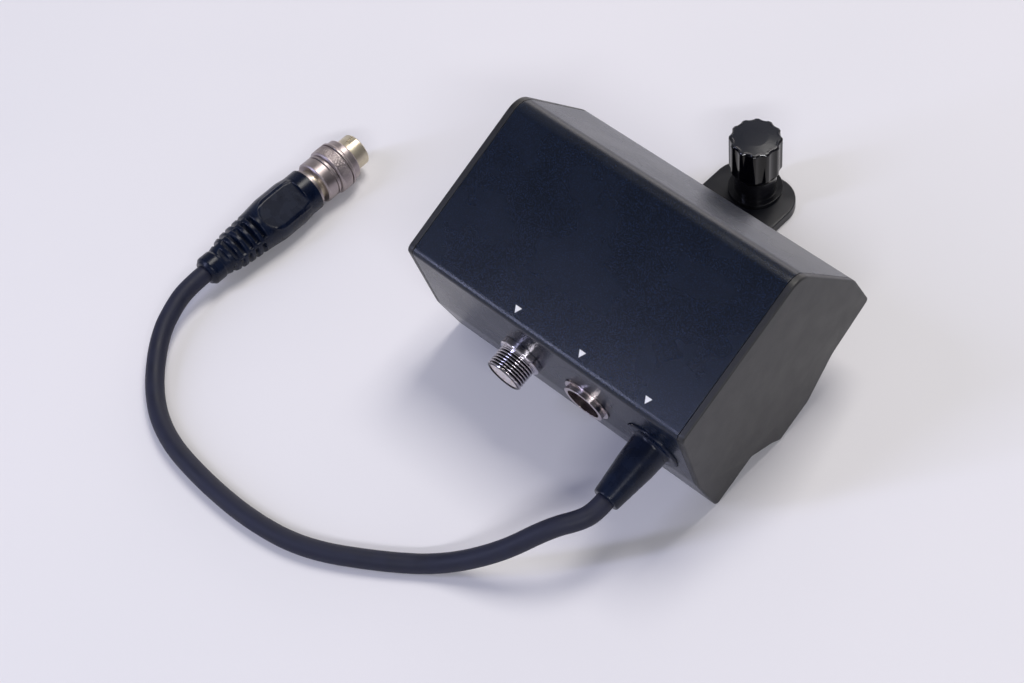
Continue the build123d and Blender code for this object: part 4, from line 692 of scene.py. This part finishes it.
def fluteAngles():
    # columns close together across each flute and beside its edges, and one between two flutes
    look = knobShape
    spacing = 2 * np.pi / look["flutes"]
    edge = np.arccos((look["radius"] ** 2 - look["cutter"] ** 2 + look["cutterAt"] ** 2)
                     / (2 * look["radius"] * look["cutterAt"]))
    beside = np.array(look["besideFlute"])
    one = np.concatenate([
        np.linspace(-edge, edge, look["acrossFlute"]), edge + beside, [spacing / 2],
        spacing - edge - beside[::-1]])
    return (one[None, :] + spacing * np.arange(look["flutes"])[:, None]).reshape(1, -1)


def knobSurface():
    # the flutes' outline is a soft minimum of the full width and the cutter
    # the body's whole profile follows it, and the skirt is only cut by it
    look = knobShape
    line = softened(look["profile"], look["softness"], look["softSteps"])
    angles = fluteAngles()
    outline = -np.logaddexp(
        -look["radius"] / look["blend"], -fluteRadius(angles) / look["blend"]) * look["blend"]
    full, height = line[:, :1] + 0 * angles, line[:, 1:] + 0 * angles
    isWide = full > look["crownRadius"]
    isBody = isWide & (height > look["bodyStart"])
    cut = np.where(isWide, np.minimum(full, outline), full)
    radii = np.where(isBody, full * outline / look["radius"], cut)
    # the crown's rim rises as it draws in, so that the crown keeps its slope
    inCrown = np.clip((height - look["crownStart"]) / look["crownDepth"], 0, 1)
    heights = height + isBody * (full - radii) * look["crownSlope"] * inCrown
    return radii, angles + np.radians(look["fluteTurn"]), heights


knobMiddle = Vector((*(Vector(mounts["clamp_screw"]["pos_m"]).xy / mm), 0))
knobPlace = (knobMiddle, Vector((1, 0, 0)), Vector((0, 1, 0)), Vector((0, 0, 1)))
thumbKnob = gridMesh("thumbKnob", placed(knobPlace, *knobSurface()))
standFor(thumbKnob, "knobPlastic", "clamp_screw", "thumb_knob")
print("knob made")

# Port marks: three printed triangles on the top face, near its front edge
markFacts = {"edge": (0, -77.0, 44.2), "places": (2.3, 24.0, 45.7), "back": 3.4, "side": 2.1,
             "tall": 1.89, "sunk": -0.02, "raised": 0.04}
topAxis = Vector(mounts["output_teeth"]["axis"]) * -1
backAxis = Vector((0, topAxis.z, -topAxis.y))
markPoints, markFaces = [], []
for sideways in markFacts["places"]:
    middle = Vector(markFacts["edge"]) + backAxis * markFacts["back"] + Vector((sideways, 0, 0))
    half, rise = Vector((markFacts["side"] / 2, 0, 0)), backAxis * markFacts["tall"] / 2
    corners = [middle - half + rise, middle + half + rise, middle - rise]
    first = len(markPoints)
    for lift in (markFacts["sunk"], markFacts["raised"]):
        markPoints += [corner + topAxis * lift for corner in corners]
    a, b, c, d, e, f = range(first, first + 6)
    markFaces += [(a, c, b), (d, e, f), (a, b, e, d), (b, c, f, e), (c, a, d, f)]
markMesh = bpy.data.meshes.new("portMarks")
markMesh.from_pydata([point * mm for point in markPoints], [], markFaces)
portMarks = addObject("portMarks", markMesh)
portMarks.data.materials.append(finishes["markPaint"])
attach(portMarks, "housing")
print("marks made")

# Stage: a pale paper floor, four soft lamps and a dim room
floorLook = {"dark": "e3e2e6", "light": "e7e5e9", "cloudSize": 160.0, "grainSize": 1.5,
             "grainDepth": 0.02, "rough": (0.8, 0.9)}
floorHalf = 4
floorMesh = bpy.data.meshes.new("floor")
floorMesh.from_pydata([(x * floorHalf, y * floorHalf, 0) for x, y in
                       ((-1, -1), (1, -1), (1, 1), (-1, 1))], [], [(0, 1, 2, 3)])
floor = addObject("floor", floorMesh)
floor.data.materials.append(dressSurface("paper, matte backdrop", floorLook)[0])

lampAim = (0, -0.06, 0)
lampFacts = {
    "key": {"place": (-0.1, 0.75, 1.95), "size": (0.7, 1.0), "power": 23.0, "colour": "fffbf5"},
    "window": {"place": (-0.79, -1.32, 1.0), "size": (0.14, 1.5), "power": 12.3,
               "colour": "d0d6ff"},
    "rear": {"place": (-1.0, 1.9, 0.42), "size": (3.0, 0.8), "power": 14.0, "colour": "fff6f2"},
    "side": {"place": (0.9, -0.85, 1.1), "size": (0.9, 0.1), "power": 8.0, "colour": "fafaff"},
}
for name, facts in lampFacts.items():
    lampData = bpy.data.lights.new(name, "AREA")
    lampData.shape = "RECTANGLE"
    lampData.size, lampData.size_y = facts["size"]
    lampData.energy = facts["power"]
    lampData.color = hexColour(facts["colour"])[:3]
    lamp = addObject(name, lampData)
    lamp.location = facts["place"]
    aim = Vector(lampAim) - Vector(facts["place"])
    lamp.rotation_euler = aim.to_track_quat("-Z", "Y").to_euler()

# the room is lighter low down than overhead: its strength falls with the direction's height
roomLook = {"colour": "e8e9f2", "lowHeight": 0.1, "highHeight": 0.75, "lowStrength": 0.52,
            "highStrength": 0.17}
world = bpy.data.worlds.new("studio")
world.use_nodes = True
bpy.context.scene.world = world
roomTree = world.node_tree
sky = roomTree.nodes["Background"]
sky.inputs["Color"].default_value = hexColour(roomLook["colour"])
direction = addNode(roomTree, "TexCoord").outputs["Generated"]
upward = addNode(roomTree, "SeparateXYZ", {"Vector": direction}).outputs["Z"]
fading = addNode(roomTree, "MapRange", {
    "Value": upward, "From Min": roomLook["lowHeight"], "From Max": roomLook["highHeight"],
    "To Min": roomLook["lowStrength"], "To Max": roomLook["highStrength"]})
roomTree.links.new(fading.outputs["Result"], sky.inputs["Strength"])
print("stage set")
